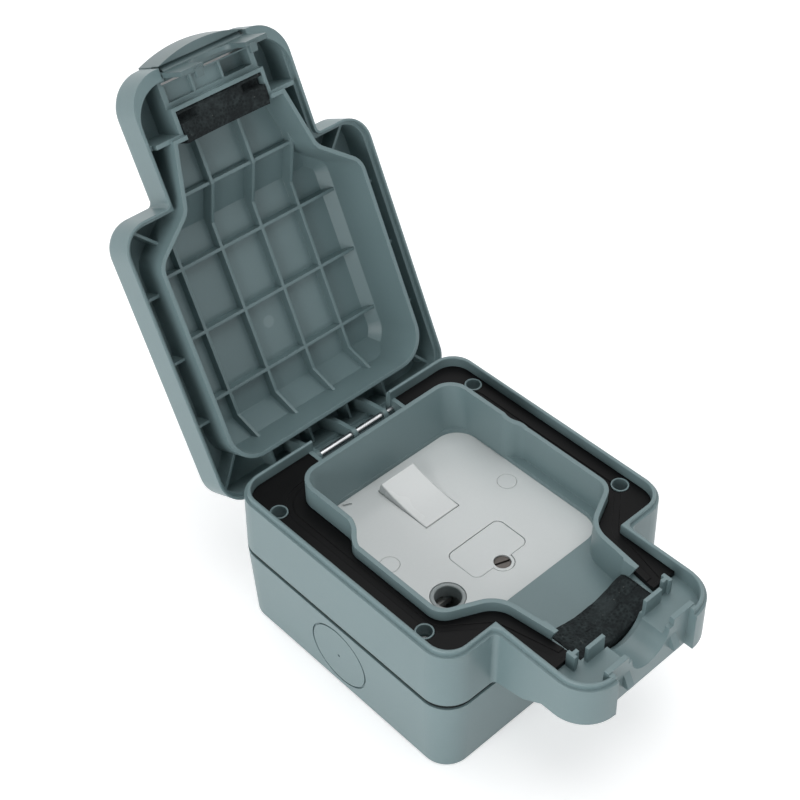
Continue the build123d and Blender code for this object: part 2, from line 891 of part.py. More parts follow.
with BuildPart() as back_box:
    with BuildSketch(Plane.XY.offset(box_depth)):
        RectangleRounded(box_width, box_length, corner_radius)
    extrude(amount=-box_depth, taper=box_draft)
    fillet(back_box.edges().group_by(Axis.Z)[0], box_foot_round)
    with BuildSketch(Plane.XY.offset(box_depth)):
        RectangleRounded(
            box_width - 2 * box_wall, box_length - 2 * box_wall, corner_radius - box_wall
        )
    extrude(amount=box_floor - box_depth, taper=box_draft, mode=Mode.SUBTRACT)
    with BuildSketch(Plane.XY.offset(box_floor - 1)):
        with Locations(*corners):
            Circle(pillar_diameter / 2)
    extrude(amount=box_depth - box_floor + 1)
    with BuildSketch(Plane.XY.offset(box_floor - 1)):
        with Locations(*plate_screws):
            Circle(post_diameter / 2)
    extrude(amount=plate_base - box_floor + 1)
    with BuildSketch(Plane.XY.offset(box_floor - 1)):
        with Locations(*wall_holes):
            Circle(wall_hole_boss / 2)
    extrude(amount=wall_hole_boss_height + 1)

    # Holes for the wall fixing and for the screws
    for centre in wall_holes:
        rod(
            Plane.XY, centre, wall_hole_diameter, box_floor + wall_hole_boss_height,
            mode=Mode.SUBTRACT,
        )
    for centre in corners:
        rod(
            Plane.XY.offset(frame_screw_tip - 1), centre, frame_screw_diameter + 2 * fit_gap,
            box_depth - frame_screw_tip + 1, mode=Mode.SUBTRACT,
        )
    for centre in plate_screws:
        rod(
            Plane.XY.offset(plate_screw_tip - 1), centre, plate_screw_diameter + 2 * fit_gap,
            plate_base - plate_screw_tip + 1, mode=Mode.SUBTRACT,
        )

    # Relief along the middle of each bottom edge leaves four corner feet
    for side in sides:
        slab(
            Plane.XY, (side * (box_width / 2 - foot_relief_depth - 1), foot_along_y - box_length / 2),
            (side * box_width / 2, box_length / 2 - foot_along_y), foot_relief, mode=Mode.SUBTRACT,
        )
        slab(
            Plane.XY, (foot_along_x - box_width / 2, side * (box_length / 2 - foot_relief_depth - 1)),
            (box_width / 2 - foot_along_x, side * box_length / 2), foot_relief, mode=Mode.SUBTRACT,
        )

    # Knockout rings in the four walls, on planes that lean with the draft
    for along, half in ((Vector(1, 0, 0), box_width / 2), (Vector(0, 1, 0), box_length / 2)):
        for side in sides:
            outward = along * side
            lean = (box_depth - knockout_height) * tan(radians(box_draft))
            wall_plane = Plane(
                origin=outward * (half - lean) + Vector(0, 0, knockout_height),
                x_dir=Vector(0, 0, 1).cross(outward),
                z_dir=outward * cos(radians(box_draft)) - Vector(0, 0, sin(radians(box_draft))),
            )
            with BuildSketch(wall_plane):
                Circle(knockout_diameter / 2)
                Circle(knockout_diameter / 2 - knockout_groove, mode=Mode.SUBTRACT)
                Circle(knockout_dimple)
            extrude(amount=-knockout_depth, mode=Mode.SUBTRACT)

keep(back_box, "back_box")

# Seal between the back box and the front frame

with BuildPart() as box_gasket:
    with BuildSketch(Plane.XY.offset(box_depth)):
        RectangleRounded(
            box_width - 2 * seal_recess, box_length - 2 * seal_recess, corner_radius - seal_recess
        )
        RectangleRounded(
            box_width - 2 * seal_inset, box_length - 2 * seal_inset, corner_radius - seal_inset,
            mode=Mode.SUBTRACT,
        )
        with Locations(*corners):
            Circle(pillar_diameter / 2)
            Circle(frame_screw_diameter / 2 + frame_screw_clearance, mode=Mode.SUBTRACT)
    extrude(amount=seal_thickness)

keep(box_gasket, "box_gasket")

# Rubber membrane on the deck, with the groove that the lid's sealing wall leaves

with BuildPart() as membrane:
    with BuildSketch(Plane.XY.offset(deck_top)) as sheet:
        frame_outline(rim_inner + membrane_gap)
    with BuildSketch(Plane.XY.offset(deck_top)) as opening:
        collar_outline(collar_back_y, keeper_y, collar_wall / 2 + membrane_gap)
    extrude(sheet.sketch, amount=membrane_thickness)
    extrude(opening.sketch, amount=membrane_thickness, mode=Mode.SUBTRACT)
    slab(
        Plane.XY.offset(deck_top), (-tail_half_width, -tail_reach), (tail_half_width, membrane_end_y),
        membrane_thickness, mode=Mode.SUBTRACT,
    )
    slab(
        Plane.XY.offset(deck_top), (-pocket_half - pocket_wall - membrane_gap, collar_back_y),
        (pocket_half + pocket_wall + membrane_gap, box_length / 2), membrane_thickness,
        mode=Mode.SUBTRACT,
    )
    for centre in corners:
        rod(
            Plane.XY.offset(deck_top), centre, screw_boss_diameter + 2 * membrane_gap,
            membrane_thickness, mode=Mode.SUBTRACT,
        )
    with BuildSketch(Plane.XY.offset(deck_top + membrane_thickness)) as groove_outer:
        ring_outline(ring_end_y, ring_wall / 2 + ring_gap)
    with BuildSketch(Plane.XY.offset(deck_top + membrane_thickness)) as groove_inner:
        ring_outline(ring_end_y, -ring_wall / 2 - ring_gap)
    extrude(groove_outer.sketch - groove_inner.sketch, amount=-membrane_groove, mode=Mode.SUBTRACT)

keep(membrane, "membrane")

# Screws and washers that hold the frame

with BuildPart() as frame_screws:
    for centre in corners:
        rod(Plane.XY.offset(frame_screw_tip), centre, frame_screw_diameter, frame_screw_length)
        rod(
            Plane.XY.offset(frame_screw_seat), centre, frame_screw_head, frame_screw_head_height
        )
    fillet(frame_screws.edges().group_by(Axis.Z)[-1], frame_screw_head_height * 0.4)
    with BuildSketch(Plane.XY.offset(frame_screw_seat + frame_screw_head_height)):
        with Locations(*corners):
            Rectangle(frame_screw_cross, screw_slot, rotation=45)
            Rectangle(frame_screw_cross, screw_slot, rotation=-45)
    extrude(amount=-frame_screw_head_height * 0.6, mode=Mode.SUBTRACT)

keep(frame_screws, "frame_screws")

with BuildPart() as screw_washers:
    with BuildSketch(Plane.XY.offset(frame_screw_seat - washer_thickness)):
        with Locations(*corners):
            Circle(washer_diameter / 2)
            Circle(frame_screw_diameter / 2 + fit_gap, mode=Mode.SUBTRACT)
    extrude(amount=washer_thickness)

keep(screw_washers, "screw_washers")

# Hinge pin

with BuildPart() as hinge_pin:
    rod(
        Plane.YZ.offset(-hinge_pin_length / 2), (hinge_y, hinge_z), hinge_pin_diameter,
        hinge_pin_length,
    )

keep(hinge_pin, "hinge_pin")

# Foam that closes round the cable

with BuildPart() as frame_foam:
    slab(
        Plane.XY.offset(foam_floor), (-foam_half, foam_end_y), (foam_half, foam_start_y - foam_clearance),
        foam_top - foam_floor,
    )
    with BuildSketch(Plane.XZ.offset(-foam_start_y)):
        with BuildLine():
            ThreePointArc((-foam_half, foam_top + 1), (0, foam_top - foam_dish), (foam_half, foam_top + 1))
            Line((-foam_half, foam_top + 1), (foam_half, foam_top + 1))
        make_face()
    extrude(amount=foam_start_y - foam_end_y, mode=Mode.SUBTRACT)

keep(frame_foam, "frame_foam")

# Lid: the dome and the space inside it, both narrowing to the neck

with BuildPart() as dome:
    with BuildSketch(shut(lid_top - 1)):
        ring_outline(ring_end_y, ring_wall / 2)
    extrude(amount=dome_rise + 1 - dome_edge)
    with BuildSketch(shut(dome_top - dome_edge)):
        ring_outline(ring_end_y, ring_wall / 2)
    extrude(amount=dome_edge, taper=dome_bevel)
    with BuildSketch(shut_side(0)):
        with BuildLine():
            Polyline(
                (ring_back_y + 2, lid_top - 2), (ring_back_y + ring_wall / 2, lid_top),
                (ring_back_y + ring_wall / 2 - dome_back_slant, dome_top), (dome_slant_y, dome_top),
                (dome_neck_y, lid_top), (dome_neck_y, lid_top - 2), close=True,
            )
        make_face()
    extrude(amount=box_width / 2, both=True, mode=Mode.INTERSECT)

with BuildPart() as dish:
    dish_space(-ring_wall / 2, 0)

# Ribs of the dish, a grid that follows its ceiling

with BuildPart() as rib_limit:
    dish_space(0, lid_wall / 2)

with BuildPart() as dish_ribs:
    for x in rib_columns:
        with BuildSketch(shut_side(x)):
            with BuildLine():
                Polyline(
                    (ring_back_y, lid_ceiling - lid_rib_depth),
                    (ring_back_y, dish_ceiling + 1), (dome_slant_y, dish_ceiling + 1),
                    (dome_neck_y, lid_ceiling + 1), (ring_end_y, lid_ceiling + 1),
                    (ring_end_y, lid_ceiling - lid_rib_depth),
                    (dome_neck_y + 2, lid_ceiling - lid_rib_depth),
                    (dome_slant_y + 2, dish_ceiling - lid_rib_depth),
                    (ring_back_y - dome_back_slant - 2, dish_ceiling - lid_rib_depth), close=True,
                )
            make_face()
        extrude(amount=lid_rib_wall / 2, both=True)
    for y in rib_rows:
        low = dish_ceiling if y > dome_slant_y else lid_ceiling + 1
        slab(
            shut(low - lid_rib_depth), (-ring_half, y - lid_rib_wall / 2),
            (ring_half, y + lid_rib_wall / 2), lid_rib_depth + 1,
        )
    add(rib_limit.part, mode=Mode.INTERSECT)

# Ribs between the skirt and the sealing wall

with BuildPart() as moat_ribs:
    for y in rib_rows:
        slab(
            shut(lid_ceiling - moat_rib_depth), (-box_width / 2, y - moat_rib_wall / 2),
            (box_width / 2, y + moat_rib_wall / 2), moat_rib_depth + 1,
        )
    for x in rib_columns:
        slab(
            shut(lid_ceiling - moat_rib_depth), (x - moat_rib_wall / 2, ring_shoulder_y - 5),
            (x + moat_rib_wall / 2, box_length / 2), moat_rib_depth + 1,
        )
    for side in sides:
        for low, high in moat_braces:
            with BuildSketch(shut(lid_ceiling - moat_rib_depth)):
                with BuildLine() as brace:
                    Line((side * low[0], low[1]), (side * high[0], high[1]))
                trace(brace.edges(), line_width=moat_rib_wall)
            extrude(amount=moat_rib_depth + 1)
    with BuildSketch(shut(lid_shoulder)):
        lid_outline(lid_wall - moat_rib_sink)
    extrude(amount=lid_top - lid_shoulder - 1, mode=Mode.INTERSECT)
    with BuildSketch(shut(lid_shoulder)):
        ring_outline(ring_end_y, 0)
    extrude(amount=lid_top - lid_shoulder, mode=Mode.SUBTRACT)

with BuildPart() as lid:
    # Skirt with its flat border
    with BuildSketch(shut(lid_edge)) as lid_foot:
        lid_outline(0)
        fillet(junctions(lid_foot, lid_tail_half, box_length / 2 - step_inset), junction_radius)
    extrude(amount=lid_height)
    fillet(lid.edges().group_by(lid_axis)[-1], lid_top_round)
    add(dome.part)
    with BuildSketch(shut(lid_shoulder)):
        lid_outline(lid_wall)
    extrude(amount=lid_ceiling - lid_shoulder, mode=Mode.SUBTRACT)
    with BuildSketch(shut(lid_edge)) as lip_outline:
        frame_outline(lip_inner)
        fillet(
            junctions(lip_outline, tail_half_width - lip_inner, box_length / 2 - lip_inner),
            junction_radius + rim_step - lip_gap,
        )
    extrude(amount=lid_shoulder - lid_edge, mode=Mode.SUBTRACT)

    # Sealing wall and the dish inside it
    with BuildSketch(shut(ring_edge)):
        ring_outline(ring_end_y, ring_wall / 2)
    extrude(amount=lid_ceiling - ring_edge + 1)
    add(dish.part, mode=Mode.SUBTRACT)
    add(dish_ribs.part)
    add(moat_ribs.part)

    # Cross walls beside the foam, the lower part kept inside the frame's rim
    for side in sides:
        slab(
            shut(lid_foam_wall_edge), (side * housing_half, ring_end_y - ring_wall),
            (side * (tail_half_width - rim_inner - 2 * lip_gap), ring_end_y),
            lid_ceiling - lid_foam_wall_edge + 1,
        )
        slab(
            shut(lid_shoulder + lid_gap), (side * housing_half, ring_end_y - ring_wall),
            (side * (lid_tail_half - 1), ring_end_y), lid_ceiling - lid_shoulder,
        )

    # Foam housing and the block behind the latch with its shallow compartments
    slab(
        shut(lid_foam_wall_edge), (-housing_side, housing_front_y - housing_wall),
        (housing_side, ring_end_y - ring_wall / 2), lid_ceiling - lid_foam_wall_edge + 1,
    )
    slab(
        shut(cheek_edge), (-housing_side, lid_recess_y), (housing_side, housing_front_y),
        lid_ceiling - cheek_edge + 1,
    )
    slab(
        shut(ring_edge), (-housing_half, housing_front_y),
        (housing_half, lid_foam_end_y), lid_ceiling - ring_edge, mode=Mode.SUBTRACT,
    )
    for low, high, depth in zip(panel_edges, panel_edges[1:], panel_depths):
        slab(
            shut(cheek_edge), (low + panel_divider, lid_recess_y + panel_divider),
            (high - panel_divider, panel_front_y), depth, mode=Mode.SUBTRACT,
        )

    # Recess for the latch between two cheeks with pivot bosses
    slab(
        shut(lid_edge - 1), (-housing_half, -lid_tail_reach - 1), (housing_half, lid_recess_y),
        lid_height + 2, mode=Mode.SUBTRACT,
    )
    for side in sides:
        slab(
            shut(cheek_edge), (side * housing_half, cheek_end_y), (side * housing_side, lid_recess_y),
            lid_ceiling - cheek_edge + 1,
        )
        rod(
            shut_side(side * (housing_half + latch_boss_gap)), (latch_pivot_y, latch_pivot_z),
            2 * latch_barrel, -side * latch_boss,
        )
    rod(
        shut_side(-housing_side), (latch_pivot_y, latch_pivot_z), latch_pin_diameter,
        2 * housing_side, mode=Mode.SUBTRACT,
    )

    # Hinge ears, curved to pass round the frame's rim
    for x in ear_positions:
        with BuildSketch(shut_side(x)):
            with BuildLine():
                ear_front = Spline(
                    (hinge_y - ear_eye, hinge_z), (ear_root_y + ear_front_lean, hinge_z + ear_front_rise),
                    (ear_root_y, lid_edge + ear_front_step),
                )
                Line(ear_front @ 1, (ear_root_y, lid_ceiling + ear_sink))
                Line((ear_root_y, lid_ceiling + ear_sink), (ear_back_y, lid_ceiling + ear_sink))
                Line((ear_back_y, lid_ceiling + ear_sink), (ear_back_y, lid_edge))
                Spline(
                    (ear_back_y, lid_edge), (ear_back_y + ear_back_lean, hinge_z + ear_back_rise),
                    (hinge_y + ear_eye, hinge_z),
                )
                Line((hinge_y + ear_eye, hinge_z), (hinge_y - ear_eye, hinge_z))
            make_face()
            with Locations((hinge_y, hinge_z)):
                Circle(ear_eye)
                Circle(hinge_pin_diameter / 2 + hinge_clearance, mode=Mode.SUBTRACT)
        extrude(amount=ear_thickness / 2, both=True)

keep(lid, "lid")

# Foam across the lid's neck, slotted for the keeper plates

with BuildPart() as lid_foam:
    slab(
        shut(lid_foam_face), (-lid_foam_half, housing_front_y + foam_clearance),
        (lid_foam_half, lid_foam_end_y), lid_ceiling - lid_foam_face - fit_gap,
    )
    for side in sides:
        slab(
            shut(lid_foam_face), (side * foam_slot_start, keeper_front_y - lid_foam_slot / 4),
            (side * lid_foam_half, keeper_front_y - lid_foam_slot / 4 + lid_foam_slot),
            keeper_top - lid_foam_face + foam_clearance, mode=Mode.SUBTRACT,
        )

keep(lid_foam, "lid_foam")

# Latch: legs with hooks below the pivot, thumb tab above it

with BuildPart() as latch:
    with BuildSketch(shut_side(0)):
        with BuildLine():
            Polyline(
                (latch_inner_y - latch_plate, latch_bottom), (latch_inner_y, latch_bottom),
                (latch_inner_y, latch_pivot_z),
                (latch_pivot_y + latch_neck_reach, latch_pivot_z + latch_neck_low),
                (tab_inner_y, latch_pivot_z + latch_neck_high), (tab_inner_y, latch_top),
                (tab_inner_y - latch_plate, latch_top), (tab_inner_y - latch_plate, latch_pivot_z),
                (latch_inner_y - latch_plate, latch_arch_top), close=True,
            )
        make_face()
        with Locations((latch_pivot_y, latch_pivot_z)):
            Circle(latch_barrel)
    extrude(amount=latch_barrel_half, both=True)
    for side in sides:
        slab(
            shut_side(side * latch_barrel_half), (latch_inner_y - latch_plate, latch_bottom),
            (latch_inner_y, latch_pivot_z - latch_barrel - hook_gap),
            side * (latch_half - latch_barrel_half),
        )
        slab(
            shut_side(side * latch_barrel_half), (tab_inner_y - latch_plate, latch_pivot_z + latch_tab_low),
            (tab_inner_y, latch_top), side * (latch_half - latch_barrel_half),
        )
        with BuildSketch(shut_side(side * catch_x)):
            with BuildLine():
                Polyline(
                    (latch_inner_y - latch_plate / 2, hook_base),
                    (recess_y - hook_tip_gap, hook_base + hook_lead),
                    (recess_y - hook_tip_gap, catch_bottom - hook_gap),
                    (latch_inner_y - latch_plate / 2, catch_bottom - hook_gap), close=True,
                )
            make_face()
        extrude(amount=catch_width / 2, both=True)
    slab(
        shut(latch_bottom - 1), (-latch_arch_half, latch_inner_y - latch_plate - 1),
        (latch_arch_half, recess_y), latch_arch_top - latch_bottom + 1 - latch_arch_half / 2,
        mode=Mode.SUBTRACT,
    )
    with BuildSketch(shut_front(latch_inner_y + 1)):
        with Locations((0, latch_arch_top - latch_arch_half / 2)):
            Ellipse(latch_arch_half, latch_arch_half / 2)
    extrude(amount=latch_plate + 3, mode=Mode.SUBTRACT)

    # Bulging face of the thumb tab
    with BuildSketch(shut(latch_arch_top)):
        with BuildLine():
            ThreePointArc(
                (-latch_half, tab_inner_y - latch_plate), (0, tab_inner_y - latch_plate - latch_bulge),
                (latch_half, tab_inner_y - latch_plate),
            )
            Line((latch_half, tab_inner_y - latch_plate), (-latch_half, tab_inner_y - latch_plate))
        make_face()
    extrude(amount=latch_top - latch_arch_top)
    rod(
        shut_side(-latch_half), (latch_pivot_y, latch_pivot_z), latch_pin_diameter + 2 * fit_gap,
        2 * latch_half, mode=Mode.SUBTRACT,
    )

keep(latch, "latch")

with BuildPart() as latch_pin:
    rod(
        shut_side(fit_gap - housing_side), (latch_pivot_y, latch_pivot_z), latch_pin_diameter,
        2 * (housing_side - fit_gap),
    )

keep(latch_pin, "latch_pin")

# Faceplate of the switched fused spur

with BuildPart() as faceplate:
    with BuildSketch(Plane.XY.offset(plate_base)):
        RectangleRounded(2 * plate_half, 2 * plate_half, plate_corner)
        with Locations((0, rocker_y)):
            Rectangle(
                2 * (rocker_half + rocker_gap), 2 * (rocker_reach + rocker_gap), mode=Mode.SUBTRACT
            )
    extrude(amount=plate_thickness)

    # Frame round the rocker's window that reaches down past its trunnions
    with BuildSketch(Plane.XY.offset(plate_base)):
        with Locations((0, rocker_y)):
            Rectangle(2 * rocker_well_half, 2 * rocker_well_reach)
            Rectangle(
                2 * (rocker_half + rocker_gap), 2 * (rocker_reach + rocker_gap), mode=Mode.SUBTRACT
            )
    extrude(amount=-rocker_well_depth)
    rod(
        Plane.YZ.offset(-trunnion_bore_half), (rocker_y, rocker_z), trunnion_diameter + 2 * fit_gap,
        2 * trunnion_bore_half, mode=Mode.SUBTRACT,
    )

    # Window of the fuse carrier and the bore for its screw
    with BuildSketch(Plane.XY.offset(plate_base)):
        carrier_outline(carrier_gap)
    extrude(amount=plate_thickness, mode=Mode.SUBTRACT)

    # Outlet, bosses for its cord clamp, and fixing holes with sunk seats
    with BuildSketch(Plane.XY.offset(plate_base)):
        with Locations((outlet_x, outlet_y)):
            Circle(bush_diameter / 2 + fit_gap)
    extrude(amount=plate_thickness, mode=Mode.SUBTRACT)
    with BuildSketch(Plane.XY.offset(plate_base)):
        with Locations(*[(x, clamp_y) for x in clamp_bosses]):
            Circle(clamp_boss_diameter / 2)
    extrude(amount=-clamp_depth)
    for x in clamp_bosses:
        rod(
            Plane.XY.offset(clamp_seat), (x, clamp_y), clamp_screw_diameter + 2 * fit_gap,
            clamp_depth, mode=Mode.SUBTRACT,
        )
    for centre in plate_screws:
        rod(
            Plane.XY.offset(plate_base), centre, plate_screw_diameter + 2 * fit_gap,
            plate_thickness, mode=Mode.SUBTRACT,
        )
        rod(
            Plane.XY.offset(plate_screw_seat), centre, cap_diameter + 2 * fit_gap,
            plate_thickness, mode=Mode.SUBTRACT,
        )
    for centre in base_screw_places:
        rod(
            Plane.XY.offset(plate_base), centre, base_screw_diameter + 2 * fit_gap,
            base_screw_bite + fit_gap, mode=Mode.SUBTRACT,
        )
    with BuildSketch(Plane.XY.offset(face_z)):
        with Locations((slit_x, slit_y)):
            SlotOverall(slit_length, slit_width, rotation=slit_angle)
    extrude(amount=-plate_thickness / 2, mode=Mode.SUBTRACT)
    fillet(
        faceplate.faces().filter_by(Axis.Z).sort_by(Axis.Z)[-1].outer_wire().edges(),
        plate_edge_round,
    )

keep(faceplate, "faceplate")

# Rocker, drawn level on a plane that leans with it

with BuildPart() as rocker:
    with BuildSketch(rocker_plane):
        with BuildLine():
            right = CenterArc(
                (0, 0), rocker_reach, -rocker_foot_angle, rocker_foot_angle + rocker_corner_angle
            )
            left = CenterArc(
                (0, 0), rocker_reach, 180 - rocker_corner_angle, rocker_foot_angle + rocker_corner_angle
            )
            ThreePointArc(right @ 1, (0, rocker_top - rocker_dish), left @ 0)
            Line(left @ 1, right @ 0)
        make_face()
    extrude(amount=rocker_half, both=True)
    fillet(rocker.faces().filter_by(Axis.X).edges().filter_by(GeomType.CIRCLE), rocker_edge_round)
    with BuildSketch(rocker_plane):
        Rectangle(
            2 * (rocker_reach - 2 * rocker_shell), rocker_reach,
            align=(Align.CENTER, Align.MAX),
        )
    extrude(amount=rocker_half - rocker_shell, both=True, mode=Mode.SUBTRACT)
    for side in sides:
        rod(
            Plane.YZ.offset(side * (rocker_half - rocker_shell)), (rocker_y, rocker_z),
            trunnion_diameter, side * (rocker_shell + trunnion_length),
        )
        rod(
            Plane.YZ.offset(side * rocker_half), (rocker_y, rocker_z), trunnion_hub,
            -side * rocker_shell,
        )

    # Guide tubes for the plungers
    for side in sides:
        rod(
            plunger_plane, (side * plunger_x, 0), plunger_diameter + 2 * (plunger_tube + fit_gap),
            plunger_guide,
        )
        rod(
            plunger_plane, (side * plunger_x, 0), plunger_diameter + 2 * fit_gap,
            plunger_guide, mode=Mode.SUBTRACT,
        )

keep(rocker, "rocker")

with BuildPart() as rocker_plungers:
    for side in sides:
        rod(
            plunger_plane.offset(plunger_tip - plunger_length), (side * plunger_x, 0),
            plunger_diameter, plunger_length,
        )
    fillet(rocker_plungers.edges().filter_by(GeomType.CIRCLE).group_by(Axis.Z)[0], plunger_diameter * 0.4)

keep(rocker_plungers, "rocker_plungers")

with BuildPart() as plunger_springs:
    for side in sides:
        with BuildLine():
            coil = Helix(
                spring_length / spring_turns, spring_length, spring_radius,
                center=plunger_plane.from_local_coords(Vector(side * plunger_x, 0, spring_start)),
                direction=plunger_plane.z_dir,
            )
        with BuildSketch(Plane(origin=coil @ 0, z_dir=coil % 0)):
            Circle(spring_wire / 2)
        sweep(path=coil)

keep(plunger_springs, "plunger_springs")

# Contact blades rocking on a pin below the rocker

with BuildPart() as contact_blades:
    for side in sides:
        with BuildSketch(blade_plane.offset(side * plunger_x)):
            with Locations((0, blade_barrel / 2 - blade_sink + blade_thickness / 2)):
                Rectangle(blade_length, blade_thickness)
            Circle(blade_barrel / 2)
            Circle(blade_pin_diameter / 2 + blade_clearance, mode=Mode.SUBTRACT)
        extrude(amount=blade_width / 2, both=True)

keep(contact_blades, "contact_blades")

with BuildPart() as blade_pin:
    rod(
        Plane.YZ.offset(-switch_half - blade_pin_bite), (rocker_y, blade_pivot_z), blade_pin_diameter,
        2 * (switch_half + blade_pin_bite),
    )

keep(blade_pin, "blade_pin")

# Fuse carrier with its fuse and captive screw

with BuildPart() as fuse_carrier:
    with BuildSketch(Plane.XY.offset(plate_base)):
        carrier_outline(0)
    extrude(amount=plate_thickness)
    fillet(fuse_carrier.edges().group_by(Axis.Z)[-1], carrier_edge_round)
    slab(
        Plane.XY.offset(face_z - carrier_depth),
        (carrier_x - carrier_grip_half, carrier_y - carrier_grip_length / 2),
        (carrier_x + carrier_grip_half, carrier_y + carrier_grip_length / 2),
        carrier_depth - plate_thickness,
    )
    rod(
        Plane.YZ.offset(carrier_x - fuse_length / 2), (carrier_y, fuse_z), fuse_diameter + 2 * fit_gap,
        fuse_length, mode=Mode.SUBTRACT,
    )
    rod(
        Plane.XY.offset(plate_base), carrier_screw_place, carrier_screw_shaft + 2 * fit_gap,
        plate_thickness, mode=Mode.SUBTRACT,
    )
    rod(
        Plane.XY.offset(carrier_screw_seat), carrier_screw_place,
        carrier_screw_diameter + 2 * fit_gap, plate_thickness, mode=Mode.SUBTRACT,
    )

keep(fuse_carrier, "fuse_carrier")

with BuildPart() as carrier_screw:
    rod(
        Plane.XY.offset(carrier_screw_seat - carrier_screw_length), carrier_screw_place,
        carrier_screw_shaft, carrier_screw_length,
    )
    rod(
        Plane.XY.offset(carrier_screw_seat), carrier_screw_place, carrier_screw_diameter,
        carrier_screw_head,
    )
    fillet(carrier_screw.edges().group_by(Axis.Z)[-1], 0.3)
    with BuildSketch(Plane.XY.offset(carrier_screw_seat + carrier_screw_head)):
        with Locations(carrier_screw_place):
            Rectangle(carrier_screw_diameter + 1, screw_slot, rotation=-20)
    extrude(amount=-carrier_screw_head * 0.6, mode=Mode.SUBTRACT)

keep(carrier_screw, "carrier_screw")

with BuildPart() as fuse_tube:
    rod(
        Plane.YZ.offset(carrier_x - fuse_length / 2 + fuse_cap_length), (carrier_y, fuse_z),
        fuse_diameter, fuse_length - 2 * fuse_cap_length,
    )

keep(fuse_tube, "fuse_tube")

with BuildPart() as fuse_caps:
    for side in sides:
        rod(
            Plane.YZ.offset(carrier_x + side * fuse_length / 2), (carrier_y, fuse_z), fuse_diameter,
            -side * fuse_cap_length,
        )

keep(fuse_caps, "fuse_caps")

with BuildPart() as fuse_clips:
    for side in sides:
        with BuildSketch(Plane.YZ.offset(carrier_x + side * (fuse_length - fuse_cap_length) / 2)):
            with Locations((carrier_y, fuse_z)):
                Circle(clip_radius + clip_thickness)
                Rectangle(
                    2 * (clip_radius + clip_thickness), clip_reach, align=(Align.CENTER, Align.MIN)
                )
                Circle(clip_radius, mode=Mode.SUBTRACT)
                Rectangle(
                    2 * clip_radius, 2 * clip_reach + clip_radius, align=(Align.CENTER, Align.MIN),
                    mode=Mode.SUBTRACT,
                )
            with Locations((carrier_y, cavity_floor)):
                Rectangle(
                    clip_thickness * 3, fuse_z - clip_radius - clip_thickness / 2 - cavity_floor,
                    align=(Align.CENTER, Align.MIN),
                )
        extrude(amount=clip_width / 2, both=True)

keep(fuse_clips, "fuse_clips")

# Rear moulding of the spur

with BuildPart() as spur_base:
    with BuildSketch(Plane.XY.offset(base_bottom)):
        with BuildLine():
            Polyline(
                (-base_half, base_back_y), (base_half, base_back_y), (base_half, base_notch_y),
                (base_notch_x, base_notch_y), (base_notch_x, -base_notch_y), (base_half, -base_notch_y),
                (base_half, base_front_y), (base_outlet_x, base_front_y),
                (base_outlet_x, base_outlet_y), (-base_notch_x, base_outlet_y),
                (-base_notch_x, base_notch_y), (-base_half, base_notch_y), close=True,
            )
        make_face()
    extrude(amount=base_depth)

    # Cavities for the switch and for the fuse, and hollows that save material
    for low, high, floor in cavities:
        slab(Plane.XY.offset(floor), low, high, plate_base - floor, mode=Mode.SUBTRACT)
    rod(
        Plane.XY.offset(cavity_floor), carrier_screw_place, carrier_screw_shaft + 2 * carrier_gap,
        plate_base - cavity_floor, mode=Mode.SUBTRACT,
    )
    for x, y, length in terminal_places + (earth_place,):
        slab(
            Plane.XY.offset(base_bottom),
            (x - terminal_width / 2 - terminal_gap, y - length / 2 - terminal_gap),
            (x + terminal_width / 2 + terminal_gap, y + length / 2 + terminal_gap),
            terminal_height + terminal_gap, mode=Mode.SUBTRACT,
        )
        for wire_x, wire_y in wire_places(x, y, length):
            slab(
                Plane.XY.offset(base_bottom), (wire_x, wire_y - wire_hole / 2),
                (base_half if x > 0 else -base_half, wire_y + wire_hole / 2),
                wire_height + wire_hole / 2, mode=Mode.SUBTRACT,
            )
    rod(
        Plane.YZ.offset(-switch_half - blade_pin_bite), (rocker_y, blade_pivot_z), blade_pin_diameter,
        2 * (switch_half + blade_pin_bite), mode=Mode.SUBTRACT,
    )
    for centre in base_screw_places:
        rod(
            Plane.XY.offset(base_bottom), centre, base_screw_diameter + 2 * fit_gap, base_depth,
            mode=Mode.SUBTRACT,
        )
        rod(
            Plane.XY.offset(base_bottom), centre, base_screw_head + 2 * carrier_gap,
            base_screw_sink, mode=Mode.SUBTRACT,
        )

keep(spur_base, "spur_base")

# Brass terminals with wire holes and clamping screws

with BuildPart() as terminals:
    for x, y, length in terminal_places:
        terminal_block(x, y, length, base_bottom, wire_height)

keep(terminals, "terminals")

with BuildPart() as earth_bar:
    terminal_block(*earth_place, base_bottom, wire_height)

keep(earth_bar, "earth_bar")

with BuildPart() as terminal_screws:
    for place in terminal_places + (earth_place,):
        for x, y in wire_places(*place):
            slotted_screw(Plane(origin=(x, y, base_bottom + terminal_screw_tip), z_dir=(0, 0, -1)))

keep(terminal_screws, "terminal_screws")

# Fixed contacts under the blades' hinge ends

with BuildPart() as fixed_contacts:
    for side in sides:
        slab(
            Plane.XY.offset(cavity_floor),
            (side * plunger_x - contact_width / 2, contact_y - contact_thickness),
            (side * plunger_x + contact_width / 2, contact_y), contact_height,
        )
        slab(
            Plane.XY.offset(cavity_floor),
            (side * plunger_x - contact_width / 2, contact_y - contact_foot),
            (side * plunger_x + contact_width / 2, contact_y), contact_thickness,
        )

keep(fixed_contacts, "fixed_contacts")

# Fixings of the spur

with BuildPart() as faceplate_screws:
    for centre in plate_screws:
        rod(Plane.XY.offset(plate_screw_tip), centre, plate_screw_diameter, plate_screw_length)
        rod(
            Plane.XY.offset(plate_screw_seat), centre, plate_screw_head, plate_screw_head_height
        )

keep(faceplate_screws, "faceplate_screws")

